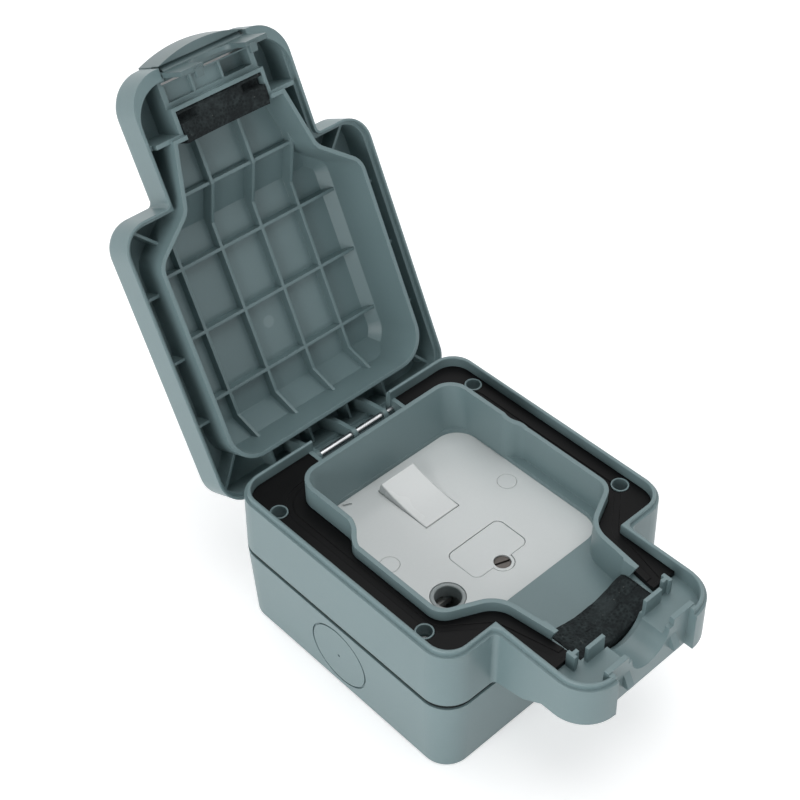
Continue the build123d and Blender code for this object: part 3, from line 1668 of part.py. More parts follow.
with BuildPart() as screw_caps:
    for centre in plate_screws:
        rod(Plane.XY.offset(face_z - cap_thickness), centre, cap_diameter, cap_thickness)

keep(screw_caps, "screw_caps")

with BuildPart() as base_screws:
    for centre in base_screw_places:
        rod(
            Plane.XY.offset(base_screw_seat), centre, base_screw_diameter,
            plate_base + base_screw_bite - base_screw_seat,
        )
        rod(Plane.XY.offset(base_screw_seat), centre, base_screw_head, -base_screw_head_height)

keep(base_screws, "base_screws")

# Flex outlet with its bush and cord clamp

with BuildPart() as outlet_bush:
    with BuildSketch(Plane.XY.offset(plate_base - bush_depth)):
        with Locations((outlet_x, outlet_y)):
            Circle(bush_diameter / 2)
            Circle(outlet_diameter / 2, mode=Mode.SUBTRACT)
    extrude(amount=plate_thickness + bush_depth)
    fillet(outlet_bush.edges().filter_by(GeomType.CIRCLE).group_by(Axis.Z)[-1], bush_round)

keep(outlet_bush, "outlet_bush")

with BuildPart() as cord_clamp:
    with BuildSketch(Plane.XY.offset(clamp_seat)):
        with Locations(((clamp_bosses[0] + clamp_bosses[1]) / 2, clamp_y)):
            SlotCenterToCenter(clamp_bosses[1] - clamp_bosses[0], clamp_width)
        with Locations(*[(x, clamp_y) for x in clamp_bosses]):
            Circle(clamp_screw_diameter / 2 + fit_gap, mode=Mode.SUBTRACT)
    extrude(amount=-clamp_height)

keep(cord_clamp, "cord_clamp")

with BuildPart() as clamp_screws:
    for x in clamp_bosses:
        rod(
            Plane.XY.offset(clamp_seat - clamp_height), (x, clamp_y), clamp_screw_diameter,
            clamp_height + clamp_screw_bite,
        )
        rod(Plane.XY.offset(clamp_seat - clamp_height), (x, clamp_y), clamp_width, -clamp_screw_head)

keep(clamp_screws, "clamp_screws")

# Earth terminal on the floor of the back box

with BuildPart() as box_earth_terminal:
    terminal_block(0, box_earth_y, box_earth_length, box_floor, terminal_height - wire_height)

keep(box_earth_terminal, "box_earth_terminal")

with BuildPart() as box_earth_screw:
    slotted_screw(
        Plane(
            origin=(
                0, box_earth_y,
                box_floor + terminal_height - terminal_screw_tip,
            ),
        )
    )

keep(box_earth_screw, "box_earth_screw")
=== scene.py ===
# %% [markdown]
# # A weatherproof switched fused spur
#
# This lesson dresses a wall box for outdoor wiring: a blue-grey moulded housing with a sealing lid,
# and inside it a white switched fused connection unit. The hard parts come from the CAD frame.
# Here they get their plastics, rubber and metals, and the soft foam blocks get their real shape.

# %% Load the frame and keep its size
import math

import bmesh
import bpy
from mathutils import Matrix, Vector, noise


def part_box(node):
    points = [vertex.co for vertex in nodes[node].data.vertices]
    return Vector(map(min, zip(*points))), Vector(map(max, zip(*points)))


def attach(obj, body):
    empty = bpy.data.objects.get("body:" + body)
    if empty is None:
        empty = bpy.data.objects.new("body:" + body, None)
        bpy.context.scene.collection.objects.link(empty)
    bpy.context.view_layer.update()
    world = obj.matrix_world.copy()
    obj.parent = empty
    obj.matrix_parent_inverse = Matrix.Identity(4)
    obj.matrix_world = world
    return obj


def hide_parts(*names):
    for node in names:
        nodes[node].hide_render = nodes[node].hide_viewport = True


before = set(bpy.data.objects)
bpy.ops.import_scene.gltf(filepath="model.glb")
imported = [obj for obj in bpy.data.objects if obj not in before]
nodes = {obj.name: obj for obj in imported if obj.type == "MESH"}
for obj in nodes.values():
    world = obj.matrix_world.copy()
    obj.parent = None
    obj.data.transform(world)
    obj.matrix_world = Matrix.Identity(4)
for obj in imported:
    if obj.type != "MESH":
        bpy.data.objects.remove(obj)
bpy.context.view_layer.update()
scene = bpy.context.scene
scene.view_settings.view_transform = "Standard"
print("frame pieces:", len(nodes))

# %% [markdown]
# ## Camera
#
# The photograph looks down on the open box from its front left. A camera can be placed by its
# position and by the directions of its own axes. A matrix built from those axes is exact, where
# three angles typed by hand would have to be searched for.

# %% Place the camera
MM = 0.001
camera_place = Vector((-281.92, -280.91, 474.60)) * MM
camera_right = Vector((0.729915, -0.683448, -0.011057))
camera_up = Vector((0.469302, 0.489317, 0.735068))
camera_lens = 71.257
camera_sensor = 36.0

camera_data = bpy.data.cameras.new("view")
camera_data.sensor_width = camera_sensor
camera_data.lens = camera_lens
camera_data.clip_start = 0.01
camera_data.clip_end = 20.0
camera = bpy.data.objects.new("view", camera_data)
scene.collection.objects.link(camera)
camera_back = camera_right.cross(camera_up)
axes = Matrix((camera_right, camera_up, camera_back)).transposed().to_4x4()
camera.matrix_world = Matrix.Translation(camera_place) @ axes
scene.camera = camera
print("camera stands", round(camera_place.length, 3), "m from the wall plate's centre")

# %% [markdown]
# ## Light
#
# The picture was taken in a white tent, so light comes from everywhere and shadows are soft. Large
# area lamps do the same. The world is plain white to the camera and in reflections, and dimmer as
# a lamp, so that the background is white while the plastic keeps its own tone.

# %% World
WORLD_FILL = 0.28
FILL_TINT = (0.94, 0.97, 1.0, 1.0)
WHITE = (1.0, 1.0, 1.0, 1.0)


def showing_rays(tree):
    """One for rays that show the backdrop: to the camera, in gloss and through glass."""
    path = tree.nodes.new("ShaderNodeLightPath")
    total = path.outputs["Is Camera Ray"]
    for kind in ("Is Glossy Ray", "Is Transmission Ray"):
        either = tree.nodes.new("ShaderNodeMath")
        either.operation = "MAXIMUM"
        tree.links.new(total, either.inputs[0])
        tree.links.new(path.outputs[kind], either.inputs[1])
        total = either.outputs[0]
    return total


world = bpy.data.worlds.new("tent")
scene.world = world
world.use_nodes = True
tree = world.node_tree
tree.nodes.clear()
sky_out = tree.nodes.new("ShaderNodeOutputWorld")
mix_sky = tree.nodes.new("ShaderNodeMixShader")
fill = tree.nodes.new("ShaderNodeBackground")
fill.inputs["Color"].default_value = FILL_TINT
fill.inputs["Strength"].default_value = WORLD_FILL
backdrop = tree.nodes.new("ShaderNodeBackground")
backdrop.inputs["Color"].default_value = WHITE
backdrop.inputs["Strength"].default_value = 1.0
tree.links.new(showing_rays(tree), mix_sky.inputs[0])
tree.links.new(fill.outputs[0], mix_sky.inputs[1])
tree.links.new(backdrop.outputs[0], mix_sky.inputs[2])
tree.links.new(mix_sky.outputs[0], sky_out.inputs["Surface"])
print("world fill", WORLD_FILL)

# %% [markdown]
# The box's left side is the brightest in the photograph, so the strongest soft box stands there,
# low down. One from above lights the faceplate in its well, and three weak ones keep the other
# sides readable when the object is seen from behind. A lamp is turned towards the object's middle
# by a track quaternion, so that only its place has to be chosen.


# %% Lamps
def area_lamp(name, place, size, watts):
    """A square soft box that looks from its place to the object's middle."""
    data = bpy.data.lights.new(name, "AREA")
    data.shape = "SQUARE"
    data.size = size
    data.energy = watts
    lamp = bpy.data.objects.new(name, data)
    scene.collection.objects.link(lamp)
    lamp.location = place
    direction = OBJECT_MIDDLE - Vector(place)
    lamp.rotation_euler = direction.to_track_quat("-Z", "Y").to_euler()


OBJECT_MIDDLE = Vector((0.0, 0.02, 0.06))
area_lamp("left", (-1.1, -0.25, 0.28), size=0.9, watts=11.5)
area_lamp("front", (0.15, -1.2, 0.22), size=0.9, watts=2.4)
area_lamp("right", (1.2, -0.1, 0.4), size=0.9, watts=2.6)
area_lamp("top", (0.1, 0.0, 1.2), size=1.0, watts=6.5)
area_lamp("back", (0.3, 1.0, 0.8), size=0.9, watts=3.0)

# %% [markdown]
# ## Floor
#
# The box lies on a white sweep. One large sheet made by a grid operator is enough. Its material
# shows brighter to the camera and in reflections than it lights the object, so the page stays
# white and the object's own shadow is still there. Far out, where the lamps hardly reach, the
# sheet is lifted more, and it meets the white world without an edge.

# %% Floor sheet
FLOOR_SIZE = 6.0


def mesh_object(name, builder):
    """Turns a bmesh into a linked object at the origin."""
    data = bpy.data.meshes.new(name)
    builder.to_mesh(data)
    builder.free()
    piece = bpy.data.objects.new(name, data)
    scene.collection.objects.link(piece)
    return piece


sweep = bmesh.new()
bmesh.ops.create_grid(sweep, x_segments=2, y_segments=2, size=FLOOR_SIZE / 2)
floor = mesh_object("floor", sweep)
print("floor", FLOOR_SIZE, "m across")

# %% Floor finish
NEAR_LIFT, FAR_LIFT = 0.42, 0.85
NEAR_REACH, FAR_REACH = 0.4, 2.2


def start_material(name):
    """A node material with its shader and Object coordinates."""
    made = bpy.data.materials.new(name)
    made.use_nodes = True
    where = made.node_tree.nodes.new("ShaderNodeTexCoord")
    return made, made.node_tree, made.node_tree.nodes["Principled BSDF"], where.outputs["Object"]


def ramp_value(tree, value, low, high, out_low, out_high):
    """Stretches a value from one range to another."""
    made = tree.nodes.new("ShaderNodeMapRange")
    made.inputs["From Min"].default_value = low
    made.inputs["From Max"].default_value = high
    made.inputs["To Min"].default_value = out_low
    made.inputs["To Max"].default_value = out_high
    tree.links.new(value, made.inputs["Value"])
    return made.outputs["Result"]


def distance_from(tree, where, place):
    """Distance of the shaded point from a place."""
    made = tree.nodes.new("ShaderNodeVectorMath")
    made.operation = "DISTANCE"
    made.inputs[1].default_value = place
    tree.links.new(where, made.inputs[0])
    return made.outputs["Value"]


floor_finish, tree, shader, where = start_material("white sweep")
shader.inputs["Base Color"].default_value = (0.86, 0.86, 0.86, 1.0)
shader.inputs["Roughness"].default_value = 0.9
shader.inputs["Specular IOR Level"].default_value = 0.1
shader.inputs["Emission Color"].default_value = WHITE
reach = distance_from(tree, where, (0.0, 0.0, 0.0))
lift = tree.nodes.new("ShaderNodeMath")
lift.operation = "MULTIPLY"
tree.links.new(showing_rays(tree), lift.inputs[0])
tree.links.new(
    ramp_value(tree, reach, NEAR_REACH, FAR_REACH, NEAR_LIFT, FAR_LIFT), lift.inputs[1]
)
tree.links.new(lift.outputs[0], shader.inputs["Emission Strength"])
floor.data.materials.append(floor_finish)
print("floor lift", NEAR_LIFT, "to", FAR_LIFT)


# %% [markdown]
# ## Shared effects
#
# Two things return in most finishes here. A spark-eroded mould leaves a fine grain and slow
# changes of gloss on every moulding, and every moulded edge is a little round, so it catches the
# light. The grain is a node group with named sockets. The round edge is Blender's Bevel node, kept
# in each material because it makes a normal.

# %% Noise and mixing
NOISE_LOW, NOISE_HIGH = 0.3, 0.7


def noise_node(tree, vector, scale, detail, rough):
    """A 3-D noise that reads a vector."""
    made = tree.nodes.new("ShaderNodeTexNoise")
    made.inputs["Scale"].default_value = scale
    made.inputs["Detail"].default_value = detail
    made.inputs["Roughness"].default_value = rough
    tree.links.new(vector, made.inputs["Vector"])
    return made


def mix_colour(tree, factor, first, second):
    """Blends two colours, each a tuple or an output, by a factor output."""
    made = tree.nodes.new("ShaderNodeMix")
    made.data_type = "RGBA"
    tree.links.new(factor, made.inputs["Factor"])
    for key, value in (("A", first), ("B", second)):
        target = [end for end in made.inputs if end.name == key and end.type == "RGBA"][0]
        if isinstance(value, tuple):
            target.default_value = value
        else:
            tree.links.new(value, target)
    return [end for end in made.outputs if end.type == "RGBA"][0]


print("most noise lies between", NOISE_LOW, "and", NOISE_HIGH)

# %% [markdown]
# The grain group works at three sizes. Slow flow changes the tone and gloss over centimetres,
# specks change the tone by a little, and the finest noise is the mould's own grain, given out as
# a height. Each material sets its two tones, its gloss and its grain from outside.

# %% Grain of moulded plastic
FLOW_SCALE, SPECK_SCALE, GRAIN_SCALE = 22.0, 900.0, 2600.0
SPECK_TONE = 0.12


def socket(group, name, kind, way, value=None):
    """Adds one named socket to a node group."""
    made = group.interface.new_socket(name=name, in_out=way, socket_type=kind)
    if value is not None:
        made.default_value = value


def moulded_group():
    """Grain, flow tone and gloss changes of an injection moulding."""
    group = bpy.data.node_groups.new("moulded grain", "ShaderNodeTree")
    socket(group, "Vector", "NodeSocketVector", "INPUT")
    socket(group, "Light Tone", "NodeSocketColor", "INPUT", (0.5, 0.5, 0.5, 1.0))
    socket(group, "Deep Tone", "NodeSocketColor", "INPUT", (0.4, 0.4, 0.4, 1.0))
    socket(group, "Gloss Low", "NodeSocketFloat", "INPUT", 0.35)
    socket(group, "Gloss High", "NodeSocketFloat", "INPUT", 0.5)
    socket(group, "Grain Scale", "NodeSocketFloat", "INPUT", GRAIN_SCALE)
    socket(group, "Color", "NodeSocketColor", "OUTPUT")
    socket(group, "Roughness", "NodeSocketFloat", "OUTPUT")
    socket(group, "Height", "NodeSocketFloat", "OUTPUT")
    entry = group.nodes.new("NodeGroupInput")
    leave = group.nodes.new("NodeGroupOutput")
    flow = noise_node(group, entry.outputs["Vector"], FLOW_SCALE, 3.0, 0.55)
    speck = noise_node(group, entry.outputs["Vector"], SPECK_SCALE, 1.0, 0.5)
    grain = noise_node(group, entry.outputs["Vector"], GRAIN_SCALE, 2.0, 0.6)
    group.links.new(entry.outputs["Grain Scale"], grain.inputs["Scale"])
    slow = ramp_value(group, flow.outputs["Fac"], NOISE_LOW, NOISE_HIGH, 0.0, 1.0)
    fine = ramp_value(group, speck.outputs["Fac"], NOISE_LOW, NOISE_HIGH, -SPECK_TONE, SPECK_TONE)
    tone = group.nodes.new("ShaderNodeMath")
    tone.operation = "ADD"
    tone.use_clamp = True
    group.links.new(slow, tone.inputs[0])
    group.links.new(fine, tone.inputs[1])
    made = mix_colour(
        group, tone.outputs[0], entry.outputs["Deep Tone"], entry.outputs["Light Tone"]
    )
    group.links.new(made, leave.inputs["Color"])
    gloss = group.nodes.new("ShaderNodeMapRange")
    group.links.new(flow.outputs["Fac"], gloss.inputs["Value"])
    group.links.new(entry.outputs["Gloss Low"], gloss.inputs["To Min"])
    group.links.new(entry.outputs["Gloss High"], gloss.inputs["To Max"])
    group.links.new(gloss.outputs["Result"], leave.inputs["Roughness"])
    group.links.new(grain.outputs["Fac"], leave.inputs["Height"])
    return group


MOULDED = moulded_group()
print("group:", MOULDED.name)


# %% [markdown]
# A moulding's own material joins these effects. It takes colour and roughness from the grain
# group, and lays the grain's fine bump over the rounded normal, so both show at once. The shader
# stays in the material, with its fixed numbers on its own sockets.


# %% Moulded material
BEVEL_SAMPLES = 6
COAT_ROUGHNESS = 0.2


def round_edges(tree, radius_mm):
    """Normal of an edge rounded by a radius."""
    made = tree.nodes.new("ShaderNodeBevel")
    made.samples = BEVEL_SAMPLES
    made.inputs["Radius"].default_value = radius_mm * MM
    return made.outputs["Normal"]


def bump(tree, height, depth_mm, normal=None):
    """A bump of a depth, laid over another normal where one is given."""
    made = tree.nodes.new("ShaderNodeBump")
    made.inputs["Strength"].default_value = 1.0
    made.inputs["Distance"].default_value = depth_mm * MM
    tree.links.new(height, made.inputs["Height"])
    if normal is not None:
        tree.links.new(normal, made.inputs["Normal"])
    return made.outputs["Normal"]


def moulded_plastic(
    name, light, deep, gloss, grain_scale, grain_depth_mm, edge_mm, coat=0.0, shine=0.5
):
    """Injection-moulded plastic with round edges."""
    made, tree, shader, where = start_material(name)
    skin = tree.nodes.new("ShaderNodeGroup")
    skin.node_tree = MOULDED
    tree.links.new(where, skin.inputs["Vector"])
    skin.inputs["Light Tone"].default_value = (*light, 1.0)
    skin.inputs["Deep Tone"].default_value = (*deep, 1.0)
    skin.inputs["Gloss Low"].default_value = gloss[0]
    skin.inputs["Gloss High"].default_value = gloss[1]
    skin.inputs["Grain Scale"].default_value = grain_scale
    tree.links.new(skin.outputs["Color"], shader.inputs["Base Color"])
    tree.links.new(skin.outputs["Roughness"], shader.inputs["Roughness"])
    soft = round_edges(tree, edge_mm)
    grained = bump(tree, skin.outputs["Height"], grain_depth_mm, soft)
    tree.links.new(grained, shader.inputs["Normal"])
    shader.inputs["Specular IOR Level"].default_value = shine
    shader.inputs["Coat Weight"].default_value = coat
    shader.inputs["Coat Roughness"].default_value = COAT_ROUGHNESS
    return made


def dress(material, *names):
    """Gives one material to CAD nodes."""
    for name in names:
        data = nodes[name].data
        data.materials.clear()
        data.materials.append(material)


print("moulded plastic and dress ready")

# %% [markdown]
# ## Housing
#
# The housing is a blue-grey weatherproof plastic. Box and frame have a fine satin skin. The lid is
# seen from the side of the mould's core, which is polished, so it gets the same tones with a
# lower roughness and a shallower grain. The latch is a separate moulding in painted shade:
# its tones are the housing's, darkened.

# %% Housing plastic
HOUSING_LIGHT = (0.155, 0.222, 0.232)
HOUSING_DEEP = (0.142, 0.206, 0.215)
# The latch's two tones are the housing's tones darkened: painted shade on the latch.
LATCH_LIGHT_PAINTED_SHADE = (0.112, 0.160, 0.167)
LATCH_DEEP_PAINTED_SHADE = (0.100, 0.146, 0.152)
HOUSING_GRAIN = 2600.0
SATIN_GLOSS = (0.34, 0.46)
CORE_GLOSS = (0.30, 0.42)
CORE_SHINE = 0.35

housing_plastic = moulded_plastic(
    "housing plastic", HOUSING_LIGHT, HOUSING_DEEP, gloss=SATIN_GLOSS,
    grain_scale=HOUSING_GRAIN, grain_depth_mm=0.012, edge_mm=0.35,
)
lid_plastic = moulded_plastic(
    "lid plastic", HOUSING_LIGHT, HOUSING_DEEP, gloss=CORE_GLOSS,
    grain_scale=HOUSING_GRAIN, grain_depth_mm=0.006, edge_mm=0.45, shine=CORE_SHINE,
)
# The latch's material is the lid's plastic with its tones darkened as painted shade.
latch_plastic_painted_shade = moulded_plastic(
    "latch plastic painted shade", LATCH_LIGHT_PAINTED_SHADE, LATCH_DEEP_PAINTED_SHADE, gloss=CORE_GLOSS,
    grain_scale=HOUSING_GRAIN, grain_depth_mm=0.006, edge_mm=0.45, shine=CORE_SHINE,
)
dress(housing_plastic, "front_frame", "back_box")
dress(lid_plastic, "lid")
dress(latch_plastic_painted_shade, "latch")
print("housing plastic on four mouldings")

# %% [markdown]
# The lid's dish keeps a pale round mark where the plastic came into the mould. It is as thin as a
# stain, so it is a spot of colour by distance from one point. The point is given for the shut lid,
# where it is easy to read off, and swung open about the hinge as the lid is.

# %% Gate mark
HINGE = Vector((0.0, 53.2, 54.5)) * MM
OPEN_ANGLE = math.radians(115.2)
swing_open = (
    Matrix.Translation(HINGE) @ Matrix.Rotation(-OPEN_ANGLE, 4, "X") @ Matrix.Translation(-HINGE)
)
GATE_SHUT = Vector((0.3, 8.3, 85.0)) * MM
GATE_RADIUS = 3.2 * MM
GATE_STRENGTH = 0.3


def gate_mark(material, place, radius, tone):
    """A small pale round mark, left where the plastic came into the mould."""
    tree = material.node_tree
    shader = tree.nodes["Principled BSDF"]
    where = tree.nodes.new("ShaderNodeTexCoord")
    away = distance_from(tree, where.outputs["Object"], place)
    mark = ramp_value(tree, away, radius * 0.8, radius, GATE_STRENGTH, 0.0)
    under = shader.inputs["Base Color"].links[0].from_socket
    tree.links.new(mix_colour(tree, mark, under, tone), shader.inputs["Base Color"])


gate_mark(lid_plastic, swing_open @ GATE_SHUT, GATE_RADIUS, (0.30, 0.38, 0.39, 1.0))
print("gate mark radius in mm", round(GATE_RADIUS / MM, 2))

# %% [markdown]
# ## Rubber
#
# The membrane is black rubber with a dull bloom and a little dust. The seam seal is a firmer,
# slightly green grey rubber. Both are dark, so their shape shows only in reflections, and their
# roughness has to vary for that.

# %% Rubber finishes
membrane_rubber = moulded_plastic(
    "membrane rubber", (0.0036, 0.0038, 0.0041), (0.0020, 0.0021, 0.0023), gloss=(0.28, 0.5),
    grain_scale=1500.0, grain_depth_mm=0.02, edge_mm=0.4, shine=0.1,
)
seal_rubber = moulded_plastic(
    "seal rubber", (0.014, 0.019, 0.019), (0.010, 0.013, 0.013), gloss=(0.6, 0.75),
    grain_scale=1500.0, grain_depth_mm=0.02, edge_mm=0.2, shine=0.15,
)
dress(membrane_rubber, "membrane")
dress(seal_rubber, "box_gasket")
print("rubber on the membrane and on the seam seal")

# %% [markdown]
# ## The accessory's plastics
#
# Faceplate, rocker, fuse carrier and screw caps are pressed from a hard white plastic with a
# gloss that softens slightly. The rocker is a shade brighter than the plate. The rear moulding
# behind the plate is plain white and more matt.

# %% White plastics
plate_white = moulded_plastic(
    "plate white", (0.640, 0.665, 0.660), (0.610, 0.636, 0.632), gloss=(0.26, 0.36),
    grain_scale=1800.0, grain_depth_mm=0.004, edge_mm=0.35, coat=0.25,
)
rocker_white = moulded_plastic(
    "rocker white", (0.700, 0.718, 0.712), (0.675, 0.694, 0.688), gloss=(0.22, 0.32),
    grain_scale=1800.0, grain_depth_mm=0.004, edge_mm=0.7, coat=0.3,
)
rear_white = moulded_plastic(
    "rear white", (0.70, 0.70, 0.67), (0.66, 0.66, 0.63), gloss=(0.42, 0.55),
    grain_scale=1200.0, grain_depth_mm=0.01, edge_mm=0.3,
)
bush_grey = moulded_plastic(
    "bush grey", (0.30, 0.33, 0.33), (0.26, 0.29, 0.29), gloss=(0.35, 0.5),
    grain_scale=1500.0, grain_depth_mm=0.01, edge_mm=0.3,
)
dress(plate_white, "faceplate", "fuse_carrier", "screw_caps")
dress(rocker_white, "rocker")
dress(rear_white, "spur_base", "cord_clamp", "rocker_plungers")
dress(bush_grey, "outlet_bush", "screw_washers")
print("white and grey plastics set")


# %% [markdown]
# ## Metals
#
# The hinge pin and the screws are zinc-plated steel with fine marks from drawing and turning. The
# fuse carrier's screw has a dark finish. Contacts and terminals are brass. Noise stretched along
# one direction gives the drawn marks, and the pin's run along X.

# %% Metal finishes
METAL_EDGE_MM = 0.12
DRAWN_DEPTH_MM = 0.004
MARK_SCALE, CLOUD_SCALE = 1800.0, 180.0


def drawn_metal(name, bright, dull, rough, stretch):
    """Metal with fine marks stretched along one direction."""
    made, tree, shader, where = start_material(name)
    mapping = tree.nodes.new("ShaderNodeMapping")
    mapping.inputs["Scale"].default_value = stretch
    tree.links.new(where, mapping.inputs["Vector"])
    marks = noise_node(tree, mapping.outputs["Vector"], MARK_SCALE, 3.0, 0.6)
    cloud = noise_node(tree, where, CLOUD_SCALE, 2.0, 0.5)
    tone = ramp_value(tree, cloud.outputs["Fac"], NOISE_LOW, NOISE_HIGH, 0.0, 1.0)
    colour = mix_colour(tree, tone, (*dull, 1.0), (*bright, 1.0))
    tree.links.new(colour, shader.inputs["Base Color"])
    gloss = ramp_value(tree, marks.outputs["Fac"], NOISE_LOW, NOISE_HIGH, rough[0], rough[1])
    tree.links.new(gloss, shader.inputs["Roughness"])
    soft = round_edges(tree, METAL_EDGE_MM)
    marked = bump(tree, marks.outputs["Fac"], DRAWN_DEPTH_MM, soft)
    tree.links.new(marked, shader.inputs["Normal"])
    shader.inputs["Metallic"].default_value = 1.0
    return made


pin_steel = drawn_metal(
    "pin steel", (0.46, 0.47, 0.48), (0.36, 0.37, 0.38), rough=(0.2, 0.34), stretch=(0.1, 1, 1)
)
screw_steel = drawn_metal(
    "screw steel", (0.58, 0.59, 0.60), (0.42, 0.43, 0.44), rough=(0.25, 0.42), stretch=(1, 1, 1)
)
dark_steel = drawn_metal(
    "dark steel", (0.11, 0.10, 0.095), (0.06, 0.055, 0.05), rough=(0.35, 0.5), stretch=(1, 1, 1)
)
brass = drawn_metal(
    "brass", (0.66, 0.47, 0.18), (0.50, 0.35, 0.13), rough=(0.25, 0.4), stretch=(1, 1, 0.2)
)
cap_plating = drawn_metal(
    "fuse cap plating", (0.66, 0.65, 0.62), (0.55, 0.54, 0.5), rough=(0.2, 0.35),
    stretch=(0.2, 1, 1),
)
dress(pin_steel, "hinge_pin", "latch_pin", "blade_pin", "plunger_springs")
dress(screw_steel, "frame_screws", "faceplate_screws", "base_screws", "clamp_screws")
dress(dark_steel, "carrier_screw")
dress(
    brass, "terminals", "earth_bar", "terminal_screws", "fixed_contacts", "fuse_clips",
    "contact_blades", "box_earth_terminal", "box_earth_screw",
)
dress(cap_plating, "fuse_caps")
print("metals set")

# %% [markdown]
# The fuse in the carrier is a short ceramic tube between its two caps. Glazed ceramic is close to
# a hard moulding: warm white, with a faint unevenness under a clear coat, so it uses the same
# material function with a stronger coat.

# %% Fuse ceramic
fuse_ceramic = moulded_plastic(
    "fuse ceramic", (0.72, 0.69, 0.62), (0.68, 0.65, 0.58), gloss=(0.2, 0.3),
    grain_scale=900.0, grain_depth_mm=0.006, edge_mm=0.2, coat=0.4,
)
dress(fuse_ceramic, "fuse_tube")
print("fuse tube set")

# %% [markdown]
# ## Foam blocks
#
# Two blocks of dark open-cell foam close round the flexible cord that the box is made for. One
# lies in the tail, hollowed in its middle, and one is glued across the lid's neck. The material
# draws the cells with a Voronoi texture, breaks them up with lumps of noise, and darkens the
# cells' pits and the lumps' low parts as painted shade. It adds a pale bloom where the foam is
# rubbed and a few crumbs of dust.

# %% Foam material
CELL_SCALE, LUMP_SCALE, BLOOM_SCALE, CRUMB_SCALE = 900.0, 260.0, 75.0, 900.0
# Colour of the cells' pits and the lumps' hollows: painted shade.
FOAM_PIT_SHADE = (0.010, 0.013, 0.014, 1.0)
FOAM_SKIN = (0.032, 0.041, 0.042, 1.0)
FOAM_BLOOM = (0.052, 0.066, 0.068, 1.0)
FOAM_DUST = (0.16, 0.17, 0.16, 1.0)

foam_finish, tree, shader, where = start_material("dark foam")
cells = tree.nodes.new("ShaderNodeTexVoronoi")
cells.inputs["Scale"].default_value = CELL_SCALE
tree.links.new(where, cells.inputs["Vector"])
lumps = noise_node(tree, where, LUMP_SCALE, 4.0, 0.6)
pore = ramp_value(tree, cells.outputs["Distance"], 0.15, 0.75, 0.0, 1.0)
lump = ramp_value(tree, lumps.outputs["Fac"], 0.35, 0.65, 0.0, 1.0)
# Where pores and lumps are low, the colour goes to the pit tone: painted shade in the hollows.
both = tree.nodes.new("ShaderNodeMath")
both.operation = "MULTIPLY"
tree.links.new(pore, both.inputs[0])
tree.links.new(lump, both.inputs[1])
foam_tone = mix_colour(tree, both.outputs[0], FOAM_PIT_SHADE, FOAM_SKIN)
bloom = noise_node(tree, where, BLOOM_SCALE, 3.0, 0.6)
rubbed = ramp_value(tree, bloom.outputs["Fac"], 0.48, 0.72, 0.0, 0.6)
cloudy = mix_colour(tree, rubbed, foam_tone, FOAM_BLOOM)
crumbs = noise_node(tree, where, CRUMB_SCALE, 1.0, 0.5)
dust = ramp_value(tree, crumbs.outputs["Fac"], 0.74, 0.79, 0.0, 0.5)
dusty = mix_colour(tree, dust, cloudy, FOAM_DUST)
tree.links.new(dusty, shader.inputs["Base Color"])
dull = ramp_value(tree, lump, 0.0, 1.0, 0.8, 0.95)
tree.links.new(dull, shader.inputs["Roughness"])
pitted = bump(tree, pore, depth_mm=0.2)
lumpy = bump(tree, lumps.outputs["Fac"], depth_mm=0.6, normal=pitted)
tree.links.new(lumpy, shader.inputs["Normal"])
shader.inputs["Specular IOR Level"].default_value = 0.15
print("foam finish", foam_finish.name)

# %% [markdown]
# Foam is never flat. Each block starts as a cube that is cut into a fine grid. The tail's block
# is dished across its middle, its front and back edges sink, and noise then pushes every point
# inward, so the block crumples and never grows past its space. Smoothing takes off the sharp
# steps. A cloth simulation would swell it like a cushion, which cut foam doesn't do.


# %% Foam of the tail
def foam_cube(low, high):
    """A cube between two corners, cut into a grid."""
    made = bmesh.new()
    bmesh.ops.create_cube(made, size=1.0)
    bmesh.ops.subdivide_edges(made, edges=made.edges[:], cuts=FOAM_CUTS, use_grid_fill=True)
    bmesh.ops.scale(made, vec=high - low, verts=made.verts)
    bmesh.ops.translate(made, vec=(high + low) / 2, verts=made.verts)
    return made


def edge_share(value, low, high):
    """Near 0 over the middle of a range, and 1 at both ends."""
    return abs((value - (low + high) / 2) / ((high - low) / 2)) ** 4


def crumple(made, centre, axis, depth, scale, seed):
    """Pushes each point inward along an axis by noise."""
    for vert in made.verts:
        push = noise.noise(vert.co * scale + Vector((seed, 0.0, 0.0))) * 0.5 + 0.5
        fine = noise.noise(vert.co * scale * FINER + Vector((0.0, seed, 0.0))) * 0.5 + 0.5
        amount = depth * (0.7 * push + 0.3 * fine)
        sign = 1.0 if vert.co[axis] > centre[axis] else -1.0
        vert.co[axis] -= sign * amount


def relax(made, factor):
    """Smooths all points a little in every direction."""
    bmesh.ops.smooth_vert(
        made, verts=made.verts, factor=factor, use_axis_x=True, use_axis_y=True, use_axis_z=True
    )


def foam_object(name, made):
    """A smooth-shaded foam piece with its faces turned outward."""
    bmesh.ops.recalc_face_normals(made, faces=made.faces)
    piece = mesh_object(name, made)
    for face in piece.data.polygons:
        face.use_smooth = True
    piece.data.materials.append(foam_finish)
    return piece


Y_AXIS, Z_AXIS = 1, 2
FINER = 4.3
FOAM_CUTS = 44
FOAM_DISH = 4.0 * MM
EDGE_SINK = 0.9 * MM

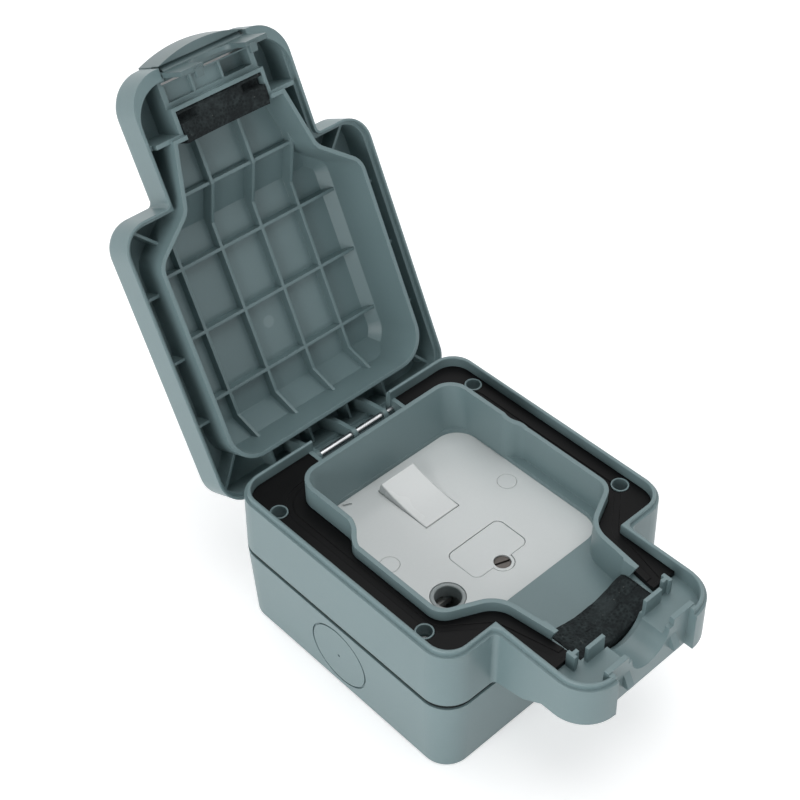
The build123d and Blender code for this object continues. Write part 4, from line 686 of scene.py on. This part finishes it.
low, high = (Vector(corner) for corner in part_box("frame_foam"))
middle = (low + high) / 2
half_width = (high.x - low.x) / 2
block = foam_cube(low, high)
for vert in block.verts:
    rise = (vert.co.z - low.z) / (high.z - low.z)
    across = (vert.co.x - middle.x) / half_width
    hollow = FOAM_DISH * (1.0 - across * across) ** 1.5
    sunk = EDGE_SINK * edge_share(vert.co.y, low.y, high.y)
    vert.co.z -= rise * (hollow + sunk)
crumple(block, middle, Z_AXIS, depth=1.4 * MM, scale=210.0, seed=3.1)
crumple(block, middle, Y_AXIS, depth=0.5 * MM, scale=260.0, seed=5.7)
relax(block, 0.4)
tail_foam = foam_object("tail_foam", block)
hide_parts("frame_foam")
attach(tail_foam, "housing")
print("tail foam faces:", len(tail_foam.data.polygons))

# %% [markdown]
# The lid's block is made in the lid's shut position, where its sides are square to the axes, and
# then turned open about the hinge. It has a slot at each side for the frame's upright plates, and
# its lower face is slightly hollow and worn at its edges.

# %% Foam of the lid
SLOT_INNER = 9.6 * MM
SLOT_TOP = 64.4 * MM
SLOT_FRONT, SLOT_BACK = -83.9 * MM, -80.7 * MM
PAD_SAG = 1.0 * MM

shut_points = [swing_open.inverted() @ vert.co for vert in nodes["lid_foam"].data.vertices]
pad_low = Vector([min(point[axis] for point in shut_points) for axis in range(3)])
pad_high = Vector([max(point[axis] for point in shut_points) for axis in range(3)])
pad_middle = (pad_low + pad_high) / 2
pad = foam_cube(pad_low, pad_high)
for vert in pad.verts:
    in_slot = abs(vert.co.x) > SLOT_INNER and SLOT_FRONT < vert.co.y < SLOT_BACK
    if in_slot and vert.co.z < SLOT_TOP:
        vert.co.z = SLOT_TOP
    elif vert.co.z < pad_middle.z:
        worn = EDGE_SINK * edge_share(vert.co.y, pad_low.y, pad_high.y)
        sag = PAD_SAG * max(1.0 - (vert.co.x / pad_high.x) ** 2, 0.0)
        vert.co.z += worn + sag
crumple(pad, pad_middle, Z_AXIS, depth=0.8 * MM, scale=240.0, seed=9.4)
relax(pad, 0.35)
bmesh.ops.transform(pad, matrix=swing_open, verts=pad.verts)
lid_pad = foam_object("lid_pad", pad)
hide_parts("lid_foam")
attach(lid_pad, "lid")
print("lid foam faces:", len(lid_pad.data.polygons))
